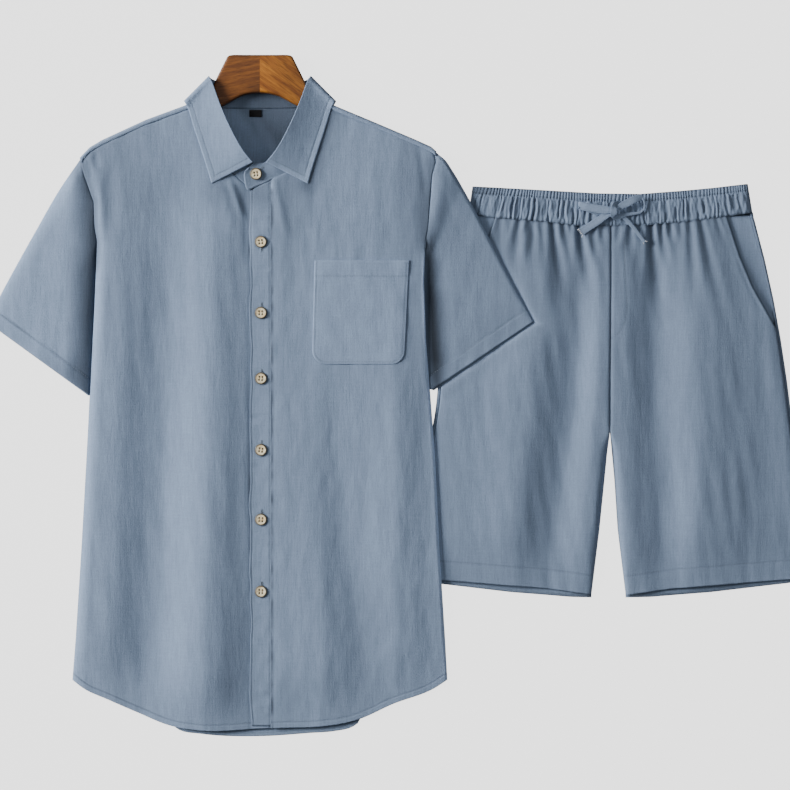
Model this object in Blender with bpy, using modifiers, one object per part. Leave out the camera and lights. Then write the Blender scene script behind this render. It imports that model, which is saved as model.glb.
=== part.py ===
"""A man's two-piece summer set, laid flat: a short-sleeved shirt on a plain wooden hanger, and
drawstring shorts whose side lies under the shirt's sleeve.

Every length below is in millimetres, and the meshes are made in metres. The set lies on the plane
z = 0. "across" is measured from a garment's own centre line, positive to the viewer's right, and "up"
runs towards the collar from the middle of the layout. Left and right in the names are the wearer's.
"""

import math

import bmesh
import bpy
import numpy as np

MM = 0.001
SHARP_ABOVE_DEGREES = 40.0

# Cloth
WALL = 1.3
SEAM = 0.3
LAID = 0.45
LAYER = WALL + SEAM
SEAT = LAYER + WALL

# Layout
SHIRT_X = -172.9
SHORTS_X = 266.5
LAYOUT_UP = -0.2
SHORTS_HEIGHT_UNDER_SHIRT = 4.7
LIFT = SHORTS_HEIGHT_UNDER_SHIRT + 0.6

# Shirt
PLACKET_LEFT, PLACKET_RIGHT = -12.5, 15.0
PLACKET_TOP_LEFT, PLACKET_TOP_RIGHT, PLACKET_BOTTOM = 257.6, 270.0, -413.0
UNDER_PLACKET = 0.5
YOKE_STRIP = 5.8
BUTTON_DIAMETER, BUTTON_THICKNESS = 15.0, 2.8
BUTTON_UPS = (192.5, 104.0, 22.0, -67.5, -154.5, -244.5)
COLLAR_BUTTON = (-4.6, 277.0)
STAND_CROWN = 2.6
EDGE_ROLL = 16.0

# Hanger
HANGER_BACK, HANGER_FRONT = 3.4, 16.4
SHIRT_OVER_HANGER = HANGER_FRONT + 0.5 + WALL

# Shorts
WAIST_GATHERS_PER_SIDE = 12
BAND_GATHERS = 48
TAPE_TUBE = 2.4

# Side edges of the shirt, armhole to hem: up, across at the viewer's left, across at the right.
SHIRT_SIDES = (
    (297.5, -225.0, 220.5),
    (275.0, -218.8, 214.5),
    (243.0, -211.0, 208.5),
    (214.0, -207.0, 204.0),
    (192.5, -204.0, 203.2),
    (144.0, -206.3, 203.2),
    (72.0, -209.9, 207.0),
    (4.0, -213.2, 212.2),
    (-80.0, -217.5, 218.5),
    (-192.0, -223.8, 223.8),
    (-305.0, -231.0, 231.0),
    (-356.0, -235.0, 233.8),
)

# Shoulder lines from the armhole to the neck: across, up.
SHOULDER_RIGHT = ((-225.0, 297.5), (-212.5, 310.6), (-197.5, 319.6), (-142.5, 345.0), (-82.0, 367.3))
SHOULDER_LEFT = ((220.5, 297.5), (217.5, 308.5), (195.0, 320.0), (136.0, 345.0), (82.0, 367.5))

# Neck edge of each front, from the shoulder to the button stand: across, up.
NECKLINE_RIGHT = (
    (-79.0, 360.5),
    (-70.5, 334.0),
    (-57.0, 305.5),
    (-38.0, 280.5),
    (-15.0, 262.5),
    (12.5, 257.0),
)
NECKLINE_LEFT = ((79.0, 360.5), (70.5, 334.0), (57.0, 305.5), (38.0, 281.3), (15.3, 270.6))

# Curved hems: across, up.
FRONT_HEM = (
    (-235.0, -356.0),
    (-219.0, -367.5),
    (-191.0, -380.0),
    (-155.0, -396.0),
    (-112.0, -413.0),
    (-70.0, -419.0),
    (0.0, -416.5),
    (28.0, -415.5),
    (74.0, -414.0),
    (122.0, -405.5),
    (167.0, -385.5),
    (217.5, -366.5),
    (233.8, -356.0),
)
BACK_HEM = (
    (-235.0, -356.0),
    (-191.0, -379.0),
    (-150.0, -397.0),
    (-101.0, -420.0),
    (-50.0, -426.0),
    (24.0, -427.0),
    (94.0, -421.0),
    (124.0, -409.0),
    (167.0, -384.5),
    (233.8, -356.0),
)

# Hanging folds of the front: up, then (across, height) of each ridge and hollow from the viewer's left.
SHIRT_FOLDS = (
    (330.0, (-180, 18.0), (-110, 17.6), (-60, 18.4), (-12, 17.8), (85, 18.2), (122, 18.0), (187, 18.0)),
    (200.0, (-177, 15.2), (-112, 13.4), (-60, 17.4), (-12, 14.0), (87, 15.2), (125, 14.8), (187, 14.4)),
    (100.0, (-181, 12.6), (-119, 9.0), (-60, 16.2), (-12, 11.2), (85, 13.2), (122, 12.4), (187, 12.0)),
    (0.0, (-185, 11.4), (-125, 6.6), (-61, 16.4), (-12, 9.4), (75, 12.4), (108, 10.6), (187, 11.6)),
    (-150.0, (-191, 10.6), (-135, 5.0), (-64, 17.4), (-12, 8.6), (73, 12.6), (115, 8.0), (187, 11.8)),
    (-280.0, (-196, 10.0), (-144, 4.4), (-67, 18.6), (-12, 8.4), (81, 13.0), (135, 6.4), (187, 11.0)),
    (-400.0, (-200, 9.4), (-156, 4.4), (-71, 19.0), (-12, 8.2), (87, 12.8), (147, 6.0), (187, 9.6)),
)

# Up, and height of the armhole seam there.
ARMHOLE_HEIGHTS = ((115.0, SEAT), (150.0, 4.6), (192.0, 7.6), (243.0, 11.4), (285.0, 15.0), (320.0, 16.2))

# Folded top edge of each sleeve, from the shoulder to the cuff, and the lower end of its cuff:
# across, up.
SLEEVE_TOP_RIGHT = ((-225.0, 297.5), (-252.0, 258.0), (-282.0, 206.0), (-325.0, 128.0), (-342.5, 94.0))
SLEEVE_TOP_LEFT = ((220.5, 306.0), (231.0, 294.0), (262.0, 245.0), (312.0, 149.0), (341.5, 97.5))
CUFF_RIGHT = (-214.0, 4.5)
CUFF_LEFT = (216.0, 4.5)

# The collar over the front: fold, outer edge of the leaf and neck seam, each (out, up), and the rise
# of the fold. "out" is the distance from the centre line, alike on both sides.
COLLAR_FRONT = (
    ((8.0, 291.5), (60.0, 265.5), (16.5, 264.5), 6.4),
    ((21.5, 308.0), (66.0, 286.0), (36.5, 283.0), 7.8),
    ((36.3, 335.0), (74.0, 311.0), (56.0, 308.0), 8.2),
    ((49.0, 364.0), (82.5, 337.0), (69.5, 336.0), 7.4),
    ((58.5, 390.0), (88.5, 357.0), (77.8, 361.0), 5.0),
)
# Round the side and the back: fold, outer edge of the leaf, neck seam, top of the stand, each
# (out, up, height).
COLLAR_BACK = (
    ((61.8, 396.5, 20.5), (93.4, 366.4, 18.8), (80.4, 366.0, 16.8), (60.0, 394.6, 19.0)),
    ((63.4, 399.5, 12.0), (94.6, 368.4, 10.5), (82.4, 369.0, 10.5), (61.4, 397.3, 12.0)),
    ((62.4, 398.5, 3.6), (94.0, 367.4, 3.0), (80.8, 367.4, 5.6), (60.6, 396.2, 5.2)),
    ((58.5, 396.5, 0.9), (90.5, 363.0, 0.65), (77.0, 365.6, 3.2), (57.4, 394.4, 2.7)),
    ((50.0, 393.5, 0.65), (80.0, 356.0, 0.65), (69.0, 362.6, 2.4), (49.6, 391.6, 2.55)),
    ((28.0, 390.0, 0.65), (44.0, 347.5, 0.65), (38.0, 361.0, 2.4), (28.0, 388.2, 2.55)),
    ((0.0, 389.0, 0.65), (0.0, 346.0, 0.65), (0.0, 360.5, 2.4), (0.0, 387.2, 2.55)),
)
# Front ends of the stand: top edge and lower edge, each (across, up), and the rise over the cloth
# below. The viewer's right end lies over.
STAND_END_UNDER = (((-2.0, 288.0), (-6.0, 262.0), 0.0), ((-8.3, 290.4), (-16.5, 264.5), 0.0))
STAND_END_OVER = (
    ((7.0, 291.8), (13.5, 270.8), 1.75),
    ((-6.5, 290.8), (0.5, 264.5), 1.75),
    ((-17.0, 281.5), (-13.5, 258.9), 3.7),
)

# Half of the hanger, out and up: from the top of its joint round the end of the arm, and back under
# the arm to the foot of the joint.
HANGER_SHOULDER = (
    (0.0, 426.3),
    (35.0, 426.3),
    (40.0, 424.5),
    (43.0, 419.5),
    (49.0, 407.5),
    (55.6, 394.0),
    (60.5, 382.0),
    (65.5, 368.0),
    (71.5, 358.5),
    (82.0, 356.8),
    (106.0, 350.8),
    (150.0, 332.5),
    (186.0, 317.0),
    (196.0, 311.0),
    (200.5, 302.5),
    (198.0, 293.5),
    (190.0, 288.5),
)
HANGER_ARCH = (
    (190.0, 288.5),
    (150.0, 304.5),
    (106.0, 324.5),
    (76.0, 343.0),
    (48.0, 362.0),
    (24.0, 374.6),
    (0.0, 378.8),
)
HANGER_JOINT_GAP = 0.3
HANGER_EDGE_RADIUS = 2.0

# Side edges of the shorts, waist to hem: out, up.
SHORTS_SIDE = (
    (176.0, 230.0),
    (179.0, 220.0),
    (192.0, 170.0),
    (203.0, 120.0),
    (212.0, 70.0),
    (219.5, 20.0),
    (229.0, -55.0),
    (239.0, -142.0),
    (249.0, -229.0),
)
# Slanted pocket opening: out, up.
POCKET_OPENING = ((144.0, 225.5), (160.5, 175.0), (177.0, 135.5), (205.5, 86.0))
# Seam under the waistband, and its frilled top: across, up.
WAIST_SEAM = ((-177, 229.5), (-149, 224.0), (-109, 221.0), (-76, 218.0), (-43, 214.0), (0, 213.6),
              (46, 214.5), (97, 218.8), (124, 222.5), (144, 225.5), (177, 230.0))
WAIST_TOP = ((-172, 262.5), (-103, 258.8), (-18, 253.8), (36, 253.0), (89, 257.0), (129, 260.8), (169, 265.5))
# Inseams from the crotch to the hem: across, up.
INSEAM_RIGHT = ((-2.0, -44.0), (-8.0, -105.0), (-14.4, -167.5), (-24.5, -249.0))
INSEAM_LEFT = ((-1.2, -44.0), (4.4, -105.0), (8.5, -167.5), (18.5, -249.0))
# Out, up of the front hem, up of the back hem.
SHORTS_HEM = (
    (22.0, -249.0, -252.5),
    (50.0, -245.0, -252.0),
    (80.0, -241.0, -249.5),
    (125.0, -237.5, -246.0),
    (180.0, -233.0, -239.5),
    (223.0, -230.0, -234.5),
    (249.0, -229.0, -230.0),
)
# Hanging folds of the legs: up, then (across, height) of each ridge and hollow.
SHORTS_FOLDS = (
    (216, (-165, 7.2), (-130, 7.4), (-66, 7.0), (-14, 7.6), (11, 7.6), (48, 7.0), (108, 7.8), (165, 7.4)),
    (150, (-165, 8.0), (-125, 10.2), (-52, 6.0), (-16, 11.4), (11, 11.6), (46, 5.8), (108, 12.4), (176, 8.6)),
    (70, (-166, 8.4), (-119, 12.0), (-52, 4.8), (-18, 12.4), (11, 12.4), (49, 5.6), (109, 14.4), (190, 8.0)),
    (-20, (-172, 8.6), (-130, 12.4), (-62, 4.4), (-24, 12.4), (12, 11.2), (58, 5.6), (111, 15.0), (200, 7.4)),
    (-105, (-176, 8.8), (-133, 12.4), (-69, 4.4), (-28, 12), (18, 11.4), (64, 5.8), (108, 15.2), (208, 6.6)),
    (-250, (-180, 8.6), (-133, 11.8), (-76, 4.6), (-34, 10.4), (30, 11.2), (64, 6), (107, 14.6), (215, 6.2)),
)

# Each half of the drawstring: out of its eyelet, through the bow, round its loop and to its free end.
# Across, up, height.
DRAWSTRING_RIGHT = (
    (-12.0, 226.0, 11.8),
    (-5.0, 227.0, 11.8),
    (2.5, 227.6, 12.1),
    (8.0, 229.6, 14.6),
    (6.6, 234.0, 17.1),
    (0.0, 235.2, 17.5),
    (-12.0, 236.0, 16.5),
    (-26.0, 238.0, 15.2),
    (-36.5, 240.6, 14.8),
    (-41.0, 239.6, 13.6),
    (-38.0, 236.0, 12.1),
    (-25.0, 233.8, 12.0),
    (-10.0, 231.6, 11.8),
    (3.0, 231.6, 11.8),
    (12.0, 230.0, 11.8),
    (20.0, 224.0, 11.8),
    (27.0, 214.5, 11.6),
    (34.0, 203.0, 11.2),
    (41.0, 192.0, 10.8),
)
DRAWSTRING_LEFT = (
    (15.0, 241.0, 11.8),
    (9.5, 240.6, 12.8),
    (4.0, 239.4, 16.8),
    (1.0, 235.6, 20.4),
    (0.4, 229.6, 20.4),
    (3.0, 224.6, 18.1),
    (9.0, 223.4, 15.5),
    (18.0, 227.6, 14.8),
    (28.0, 228.2, 13.8),
    (36.0, 228.6, 13.2),
    (40.4, 234.0, 13.0),
    (38.6, 243.0, 13.0),
    (31.0, 247.4, 13.3),
    (20.0, 242.4, 14.2),
    (10.0, 236.2, 14.7),
    (2.0, 231.8, 14.8),
    (-7.0, 226.0, 14.7),
    (-17.0, 217.6, 12.8),
    (-28.0, 209.6, 11.6),
    (-38.5, 202.5, 11.1),
)

# Linear colour, roughness
FINISHES = {
    "cloth": ((0.27, 0.33, 0.41), 0.9),
    "cloth_back": ((0.22, 0.27, 0.34), 0.9),
    "button_wood": ((0.62, 0.44, 0.27), 0.55),
    "hanger_dark": ((0.24, 0.09, 0.03), 0.4),
    "hanger_light": ((0.42, 0.17, 0.04), 0.4),
    "label_black": ((0.01, 0.01, 0.012), 0.8),
}


def ease(t):
    """0 to 1 with level ends: t*t*(3 - 2*t), held outside."""
    t = np.clip(t, 0.0, 1.0)
    return t * t * (3.0 - 2.0 * t)


def roll(t):
    """A quarter of a rounded edge: upright at 0, level from 1 on."""
    t = np.clip(t, 0.0, 1.0)
    return (1.0 - (1.0 - t) ** 2.2) ** (1.0 / 2.2)


def curve(points, places):
    """Points at the given fractions of a smooth curve through the given points.

    The curve is a cubic between neighbours, with the mean slope of both sides at each point."""
    points = np.array(points, float)
    steps = np.linalg.norm(np.diff(points, axis=0), axis=1)
    run = np.concatenate([[0.0], np.cumsum(steps)])
    slopes = np.gradient(points, run, axis=0)
    at = np.clip(np.array(places, float), 0.0, 1.0) * run[-1]
    i = np.clip(np.searchsorted(run, at, side="right") - 1, 0, len(points) - 2)
    length = (run[i + 1] - run[i])[:, None]
    t = (at - run[i])[:, None] / length
    start, end = points[i], points[i + 1]
    return (
        start * (1 - t) ** 2 * (1 + 2 * t)
        + end * t**2 * (3 - 2 * t)
        + length * (slopes[i] * t * (1 - t) ** 2 - slopes[i + 1] * t**2 * (1 - t))
    )


def evenly(count, power=1.0):
    """count fractions from 0 to 1, closer together near 0 where power is over 1."""
    return np.linspace(0.0, 1.0, count) ** power


def stitched(*stretches):
    """Several stretches of points as one, each shared corner once."""
    return np.vstack([stretches[0]] + [s[1:] for s in stretches[1:]])


def patch(top, bottom, left, right, u, v):
    """A panel laid between its four sewn edges (a Coons patch): the blend of top and bottom, plus
    the blend of left and right, less the blend of the corners. u and v are the fractions of the
    columns and rows."""
    u = u[None, :, None]
    v = v[:, None, None]
    across = (1 - v) * top[None] + v * bottom[None]
    along = (1 - u) * left[:, None] + u * right[:, None]
    upper_corners = (1 - u) * top[0] + u * top[-1]
    lower_corners = (1 - u) * bottom[0] + u * bottom[-1]
    return across + along - (1 - v) * upper_corners - v * lower_corners


def side(up, column):
    """Where the shirt's side edge lies at a height on the layout."""
    rows = np.array(SHIRT_SIDES)[::-1]
    return np.interp(up, rows[:, 0], rows[:, column])


def shoulder_line(across):
    """How far up the shoulder line is at a distance from the centre."""
    return 402.0 - 0.42 * np.abs(across)


def folds(table, across, up):
    """Height of a surface that swings smoothly between the ridges and hollows of a table, whose
    places and heights run straight from row to row."""
    ups = np.array([row[0] for row in table])[::-1]
    marks = np.array([row[1:] for row in table], float)[::-1]
    places = [np.interp(up, ups, marks[:, k, 0]) for k in range(marks.shape[1])]
    heights = [np.interp(up, ups, marks[:, k, 1]) for k in range(marks.shape[1])]
    height = heights[0]
    for k in range(1, len(places)):
        step = ease((across - places[k - 1]) / (places[k] - places[k - 1]))
        height = height + (heights[k] - heights[k - 1]) * step
    return height


def shorts_edge(up):
    """Distance of the shorts' side from their centre line."""
    rows = np.array(SHORTS_SIDE)[::-1]
    return np.interp(up, rows[:, 1], rows[:, 0])


def lift(across, up):
    """How far the shirt is raised by the shorts that lie under its side: across is the shirt's."""
    edge = SHORTS_X - SHIRT_X - shorts_edge(up)
    reach = 60.0
    sideways = ease((across - edge + reach + 14.0) / reach)
    above = ease((325.0 - up) / 80.0)
    below = ease((up + 310.0) / 75.0)
    return LIFT * sideways * above * below


def shirt_height(across, up):
    """Height of the shirt front's outer face over what the shirt lies on."""
    height = folds(SHIRT_FOLDS, across, up)
    below_shoulder = shoulder_line(across) - up
    over_hanger = 1.0 - ease((below_shoulder - 46.0) / 70.0)
    height = height + (SHIRT_OVER_HANGER - height) * over_hanger
    rows = np.array(ARMHOLE_HEIGHTS)
    at_edge = np.interp(up, rows[:, 0], rows[:, 1])
    from_edge = np.minimum(across - side(up, 1), side(up, 2) - across)
    return at_edge + (height - at_edge) * roll(from_edge / EDGE_ROLL)


def shirt_top(across, up):
    """Height of the shirt front's outer face over the ground."""
    return shirt_height(across, up) + lift(across, up)


def placket_rise(out):
    """How much higher the cloth lies over the double layer beside the placket."""
    return (LAID + WALL) * (1.0 - ease((out - PLACKET_RIGHT) / 45.0))


def placed(centre, plan, height):
    """Points of the layout from a garment's own plan points and their heights."""
    across = plan[..., 0] + centre
    up = plan[..., 1] + LAYOUT_UP
    return np.stack([across, up, np.broadcast_to(height, across.shape)], axis=-1)


def steepness(points):
    """How much longer a slanted cloth's wall measures straight down than across it."""
    along = np.gradient(points, axis=0)
    across = np.gradient(points, axis=1)
    normal = np.cross(along, across)
    lengths = np.linalg.norm(normal, axis=-1)
    return np.clip(lengths / np.maximum(np.abs(normal[..., 2]), 1e-6), 1.0, 1.7)


def material(name):
    found = bpy.data.materials.get(name)
    if found:
        return found
    colour, roughness = FINISHES[name]
    made = bpy.data.materials.new(name)
    made.use_nodes = True
    shader = made.node_tree.nodes["Principled BSDF"]
    shader.inputs["Base Color"].default_value = (*colour, 1.0)
    shader.inputs["Roughness"].default_value = roughness
    shader.inputs["Metallic"].default_value = 0.0
    return made


def keep(name, data, finish):
    """An object of the set's collection from a mesh or curve."""
    thing = bpy.data.objects.new(name, data)
    bpy.data.collections["summer_set"].objects.link(thing)
    data.materials.append(material(finish))
    if isinstance(data, bpy.types.Mesh):
        data.shade_smooth()
        data.set_sharp_from_angle(angle=math.radians(SHARP_ABOVE_DEGREES))
    return thing


def shell(name, outer, inner, finish, ring=False):
    """A wall lofted between an outer and an inner grid of points, closed by a rim round its edges.
    With ring, the last column meets the first, as on a sleeve."""
    rows, columns = outer.shape[:2]
    mesh = bmesh.new()
    faces_of = [[[mesh.verts.new(point * MM) for point in row] for row in grid] for grid in (outer, inner)]
    last = columns if ring else columns - 1
    for grid in faces_of:
        for i in range(rows - 1):
            for j in range(last):
                k = (j + 1) % columns
                mesh.faces.new((grid[i][j], grid[i][k], grid[i + 1][k], grid[i + 1][j]))
    outside, inside = faces_of
    for i in (0, rows - 1):
        for j in range(last):
            k = (j + 1) % columns
            mesh.faces.new((outside[i][j], outside[i][k], inside[i][k], inside[i][j]))
    if not ring:
        for j in (0, columns - 1):
            for i in range(rows - 1):
                mesh.faces.new((outside[i][j], outside[i + 1][j], inside[i + 1][j], inside[i][j]))
    bmesh.ops.recalc_face_normals(mesh, faces=mesh.faces)
    data = bpy.data.meshes.new(name)
    mesh.to_mesh(data)
    mesh.free()
    return keep(name, data, finish)


def hung_sheet(name, top, floor, finish):
    """A wall of cloth under a grid of points that lies over the heights in floor."""
    under = top.copy()
    under[..., 2] = np.maximum(top[..., 2] - WALL * steepness(top), floor)
    return shell(name, top, under, finish)


def flat_sheet(name, plan, centre, rest, finish):
    """A wall of cloth that lies on the heights in rest."""
    return shell(name, placed(centre, plan, rest + WALL), placed(centre, plan, rest), finish)


def side_edge(column, ups):
    """The shirt's side edge at the given heights."""
    return np.stack([side(ups, column), ups], axis=-1)


# Columns of the yoke, from the armhole to the neck and across the back neck.
YOKE_WING = (219.0, 217.3, 212.5, 196.0, 170.0, 139.0, 112.0, 96.0, 88.0, 82.0)
YOKE_NECK = (76.0, 60.0, 30.0, 0.0)

# Rows of the shirt, shared by its front and back so that their side seams match.
ARMHOLE_UPS = np.array([292.0, 275.0, 243.0])
BODY_UPS = np.array([218.0, 192.0, 168.0, 144.0, 115.0, 82.0, 46.0, 8.0, -30.0, -68.0, -108.0, -148.0,
                     -188.0, -228.0, -268.0, -312.0, -356.0])
SIDE_UPS = np.concatenate([ARMHOLE_UPS, BODY_UPS])


def shirt_fronts():
    rows = (SIDE_UPS[0] - SIDE_UPS) / (SIDE_UPS[0] - SIDE_UPS[-1])
    hem = curve(FRONT_HEM, evenly(97))
    for name, column, columns, centre_edge in (
        ("shirt_front_right", 1, 20, PLACKET_RIGHT - 2.5),
        ("shirt_front_left", 2, 20, PLACKET_RIGHT + SEAM),
    ):
        places = evenly(columns, 1.45)
        seam_count = int(round(columns * 0.66))
        line = np.array(SHOULDER_RIGHT if column == 1 else SHOULDER_LEFT, float)
        line[:, 1] -= YOKE_STRIP
        line[0] = (side(SIDE_UPS[0], column), SIDE_UPS[0])
        neck = np.array(NECKLINE_RIGHT if column == 1 else NECKLINE_LEFT)
        line[-1] = neck[0]
        at_neck = places[seam_count]
        shoulder_across = line[0, 0] + places[: seam_count + 1] / at_neck * (line[-1, 0] - line[0, 0])
        order = np.argsort(line[:, 0])
        shoulder_up = np.interp(shoulder_across, line[order, 0], line[order, 1])
        shoulder = np.stack([shoulder_across, shoulder_up], axis=-1)
        neckline = curve(neck, (places[seam_count:] - at_neck) / (1.0 - at_neck))
        top = stitched(shoulder, neckline)
        outer_edge = side_edge(column, SIDE_UPS)
        hem_end = np.array([centre_edge, np.interp(centre_edge, hem[:, 0], hem[:, 1])])
        inner_edge = neck[-1] + rows[:, None] * (hem_end - neck[-1])
        along_hem = outer_edge[-1, 0] + places * (centre_edge - outer_edge[-1, 0])
        bottom = np.stack([along_hem, np.interp(along_hem, hem[:, 0], hem[:, 1])], axis=-1)
        plan = patch(top, bottom, outer_edge, inner_edge, places, rows)
        across, up = plan[..., 0], plan[..., 1]
        height = shirt_top(across, up)
        if column == 2:
            height = height + placket_rise(across)
        else:
            height = height - UNDER_PLACKET * ease((across - PLACKET_LEFT + 6.0) / 6.0)
        hung_sheet(name, placed(SHIRT_X, plan, height), lift(across, up) + LAYER, "cloth")


def placket():
    across = np.linspace(PLACKET_LEFT, PLACKET_RIGHT, 4)
    top = np.linspace(PLACKET_TOP_LEFT, PLACKET_TOP_RIGHT, 4)
    down = evenly(27)[:, None]
    plan = np.stack([np.broadcast_to(across, (27, 4)), top + down * (PLACKET_BOTTOM - top)], axis=-1)
    base = shirt_top(plan[..., 0], plan[..., 1]) + LAID
    shell("placket", placed(SHIRT_X, plan, base + WALL), placed(SHIRT_X, plan, base), "cloth")


def chest_pocket():
    """The patch pocket: its sides run into round lower corners."""
    left, right, top, bottom, corner = 66.0, 184.5, 170.0, 39.5, 16.0
    turn = np.linspace(0.0, math.pi / 2, 4)[1:]

    def edge(x, hand):
        arc = [(x + hand * corner * (1 - math.cos(a)), bottom + corner * (1 - math.sin(a))) for a in turn]
        straight = [(x, up) for up in np.linspace(top, bottom + corner, 8)]
        return np.array(straight + arc)

    outer_edge, inner_edge = edge(right, -1.0), edge(left, 1.0)
    rows = evenly(len(inner_edge))
    columns = evenly(9)
    upper = inner_edge[0] + columns[:, None] * (outer_edge[0] - inner_edge[0])
    lower = inner_edge[-1] + columns[:, None] * (outer_edge[-1] - inner_edge[-1])
    plan = patch(upper, lower, inner_edge, outer_edge, columns, rows)
    base = shirt_top(plan[..., 0], plan[..., 1]) + LAID
    shell("chest_pocket", placed(SHIRT_X, plan, base + WALL), placed(SHIRT_X, plan, base), "cloth")


def collar_step(across, up):
    """How far the yoke is raised by the collar leaf that lies folded under the back neck."""
    out = np.abs(across)
    edge = 346.0 + 19.0 * (out / 93.0) ** 2
    return LAYER * ease((up - edge + 24.0) / 22.0) * ease((112.0 - out) / 16.0)


def shirt_back():
    rows = (SIDE_UPS[2] - SIDE_UPS[2:]) / (SIDE_UPS[2] - SIDE_UPS[-1])
    columns = evenly(12)
    left, right = side_edge(1, SIDE_UPS[2:]), side_edge(2, SIDE_UPS[2:])
    seam = left[0] + columns[:, None] * (right[0] - left[0])
    hem = curve(BACK_HEM, columns)
    plan = patch(seam, hem, left, right, columns, rows)
    flat_sheet("shirt_back", plan, SHIRT_X, lift(plan[..., 0], plan[..., 1]), "cloth_back")


def shirt_yoke():
    """The yoke: over each shoulder it wraps from the front seam, round the hanger's arm, to the
    back; between the shoulders it starts at the back neck seam."""
    front_seam = YOKE_STRIP - SEAM - 0.7
    front_height = SHIRT_OVER_HANGER - 0.9
    wrap = np.array(
        [(front_seam, front_height), (2.2, 16.4), (0.65, 12.6), (0.65, 5.6), (2.4, 1.7), (7.0, 0.65)]
    )
    reach = np.array([0.3, 0.6, 1.0])
    seam_up = SIDE_UPS[2] + SEAM
    half = YOKE_WING + YOKE_NECK
    columns = []
    for out in half + tuple(-out for out in half[-2::-1]):
        if abs(out) >= YOKE_WING[-1]:
            line = np.array(SHOULDER_RIGHT if out < 0 else SHOULDER_LEFT)
            line = line[np.argsort(np.abs(line[:, 0]))]
            level = np.interp(abs(out), np.abs(line[:, 0]), line[:, 1])
            head = np.stack([level - wrap[:, 0], wrap[:, 1]], axis=-1)
        else:
            level = 359.5 + 2.6 * (out / 76.0) ** 2
            head = np.stack([level - 2.0 * np.arange(6), np.full(6, WALL / 2)], axis=-1)
        tail = np.stack([head[-1, 0] + reach * (seam_up - head[-1, 0]), np.full(3, WALL / 2)], axis=-1)
        path = np.vstack([head, tail])
        limit = np.abs(side(path[:, 0], 1 if out < 0 else 2)) - SEAM
        across = out / YOKE_WING[0] * np.minimum(limit, YOKE_WING[0])
        columns.append(np.column_stack([across, path]))
    middle = np.array(columns)
    at_back = ease((12.0 - middle[..., 2]) / 8.0)
    middle[..., 2] += collar_step(middle[..., 0], middle[..., 1]) * at_back
    middle[..., 2] += lift(middle[..., 0], middle[..., 1]) * (middle[..., 2] < 9.0)
    wall("shirt_yoke", middle, SHIRT_X, "cloth")


def wall(name, middle, centre, finish):
    """A wall of cloth half its thickness to each side of a grid of points."""
    along = np.gradient(middle, axis=0)
    across = np.gradient(middle, axis=1)
    normal = np.cross(along, across)
    normal /= np.linalg.norm(normal, axis=-1, keepdims=True)
    offset = normal * (WALL / 2)
    base = np.array([centre, LAYOUT_UP, 0.0])
    return shell(name, middle + offset + base, middle - offset + base, finish)


def sleeve(name, column):
    """A sleeve: a flat-lying tube between the armhole and the cuff, with a rolled top edge."""
    top_edge = SLEEVE_TOP_RIGHT if column == 1 else SLEEVE_TOP_LEFT
    cuff_end = np.array(CUFF_RIGHT if column == 1 else CUFF_LEFT)
    hand = -1.0 if column == 1 else 1.0
    columns = np.array([0.0, 0.01, 0.03, 0.065, 0.12, 0.22, 0.34, 0.48, 0.62, 0.76, 0.87, 0.95, 1.0])
    rows = np.array([0.0, 0.08, 0.2, 0.36, 0.52, 0.68, 0.84, 1.0])
    first_up = top_edge[0][1]
    armhole_ups = first_up + columns * (192.0 - first_up)
    armhole = side_edge(column, armhole_ups)
    armhole[0] = top_edge[0]
    underarm_ups = 192.0 + rows * (cuff_end[1] - 192.0)
    underarm = side_edge(column, underarm_ups)
    underarm[:, 0] += hand * 0.5
    armhole[:, 0] += hand * 0.5
    underarm[-1] = cuff_end
    upper = curve(top_edge, rows)
    upper[0] = armhole[0]
    cuff = upper[-1] + columns[:, None] * (underarm[-1] - upper[-1])
    plan = patch(armhole, cuff, upper, underarm, columns, rows)
    across, up = plan[..., 0], plan[..., 1]
    seam_heights = np.array(ARMHOLE_HEIGHTS)
    at_seam = np.interp(armhole[:, 1], seam_heights[:, 0], seam_heights[:, 1])[None, :]
    middle = np.array([11.0, 10.6, 10.0, 9.4, 8.8, 8.2, 7.8, 7.4])[:, None]
    height = at_seam + (middle - at_seam) * ease(rows / 0.36)[:, None]
    from_top = np.linalg.norm(plan - plan[:, :1], axis=-1)
    from_under = np.linalg.norm(plan - plan[:, -1:], axis=-1)
    under_reach = 6.0 + 30.0 * ease(rows / 0.3)[:, None]
    height = SEAT + (height - SEAT) * roll(from_top / 11.0) * roll(from_under / under_reach)
    rest = lift(across, up)
    inset = plan.copy()
    inset[:, 0] += (plan[:, 1] - plan[:, 0]) * 0.9
    inset[:, -1] += (plan[:, -2] - plan[:, -1]) * 0.15
    thick = WALL * steepness(placed(SHIRT_X, plan, height + rest))
    hollow = np.maximum(height - thick, WALL + 0.25)
    upper, lower = placed(SHIRT_X, plan, height + rest), placed(SHIRT_X, plan, rest)
    outer = np.concatenate([upper, lower[:, ::-1]], axis=1)
    upper, lower = placed(SHIRT_X, inset, hollow + rest), placed(SHIRT_X, inset, rest + WALL)
    inner = np.concatenate([upper, lower[:, ::-1]], axis=1)
    shell(name, outer, inner, "cloth", ring=True)


def collar_rows():
    """Fold, outer edge and neck seam of the collar for rows round the neck: from the front end at
    the viewer's left, over the shoulder, round the back and on to the other front end. The front
    rows have no height of their own, because they lie on the shirt."""
    front = []
    for fold, edge, seam, _ in COLLAR_FRONT:
        top = (0.96 * fold[0] + 0.04 * seam[0], 0.96 * fold[1] + 0.04 * seam[1])
        front.append([(*point, 0.0) for point in (fold, edge, seam, top)])
    half = np.array(front + list(COLLAR_BACK))
    left = half * (-1.0, 1.0, 1.0)
    rises = np.array([row[3] for row in COLLAR_FRONT])
    return np.concatenate([left, half[-2::-1]]), rises


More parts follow.
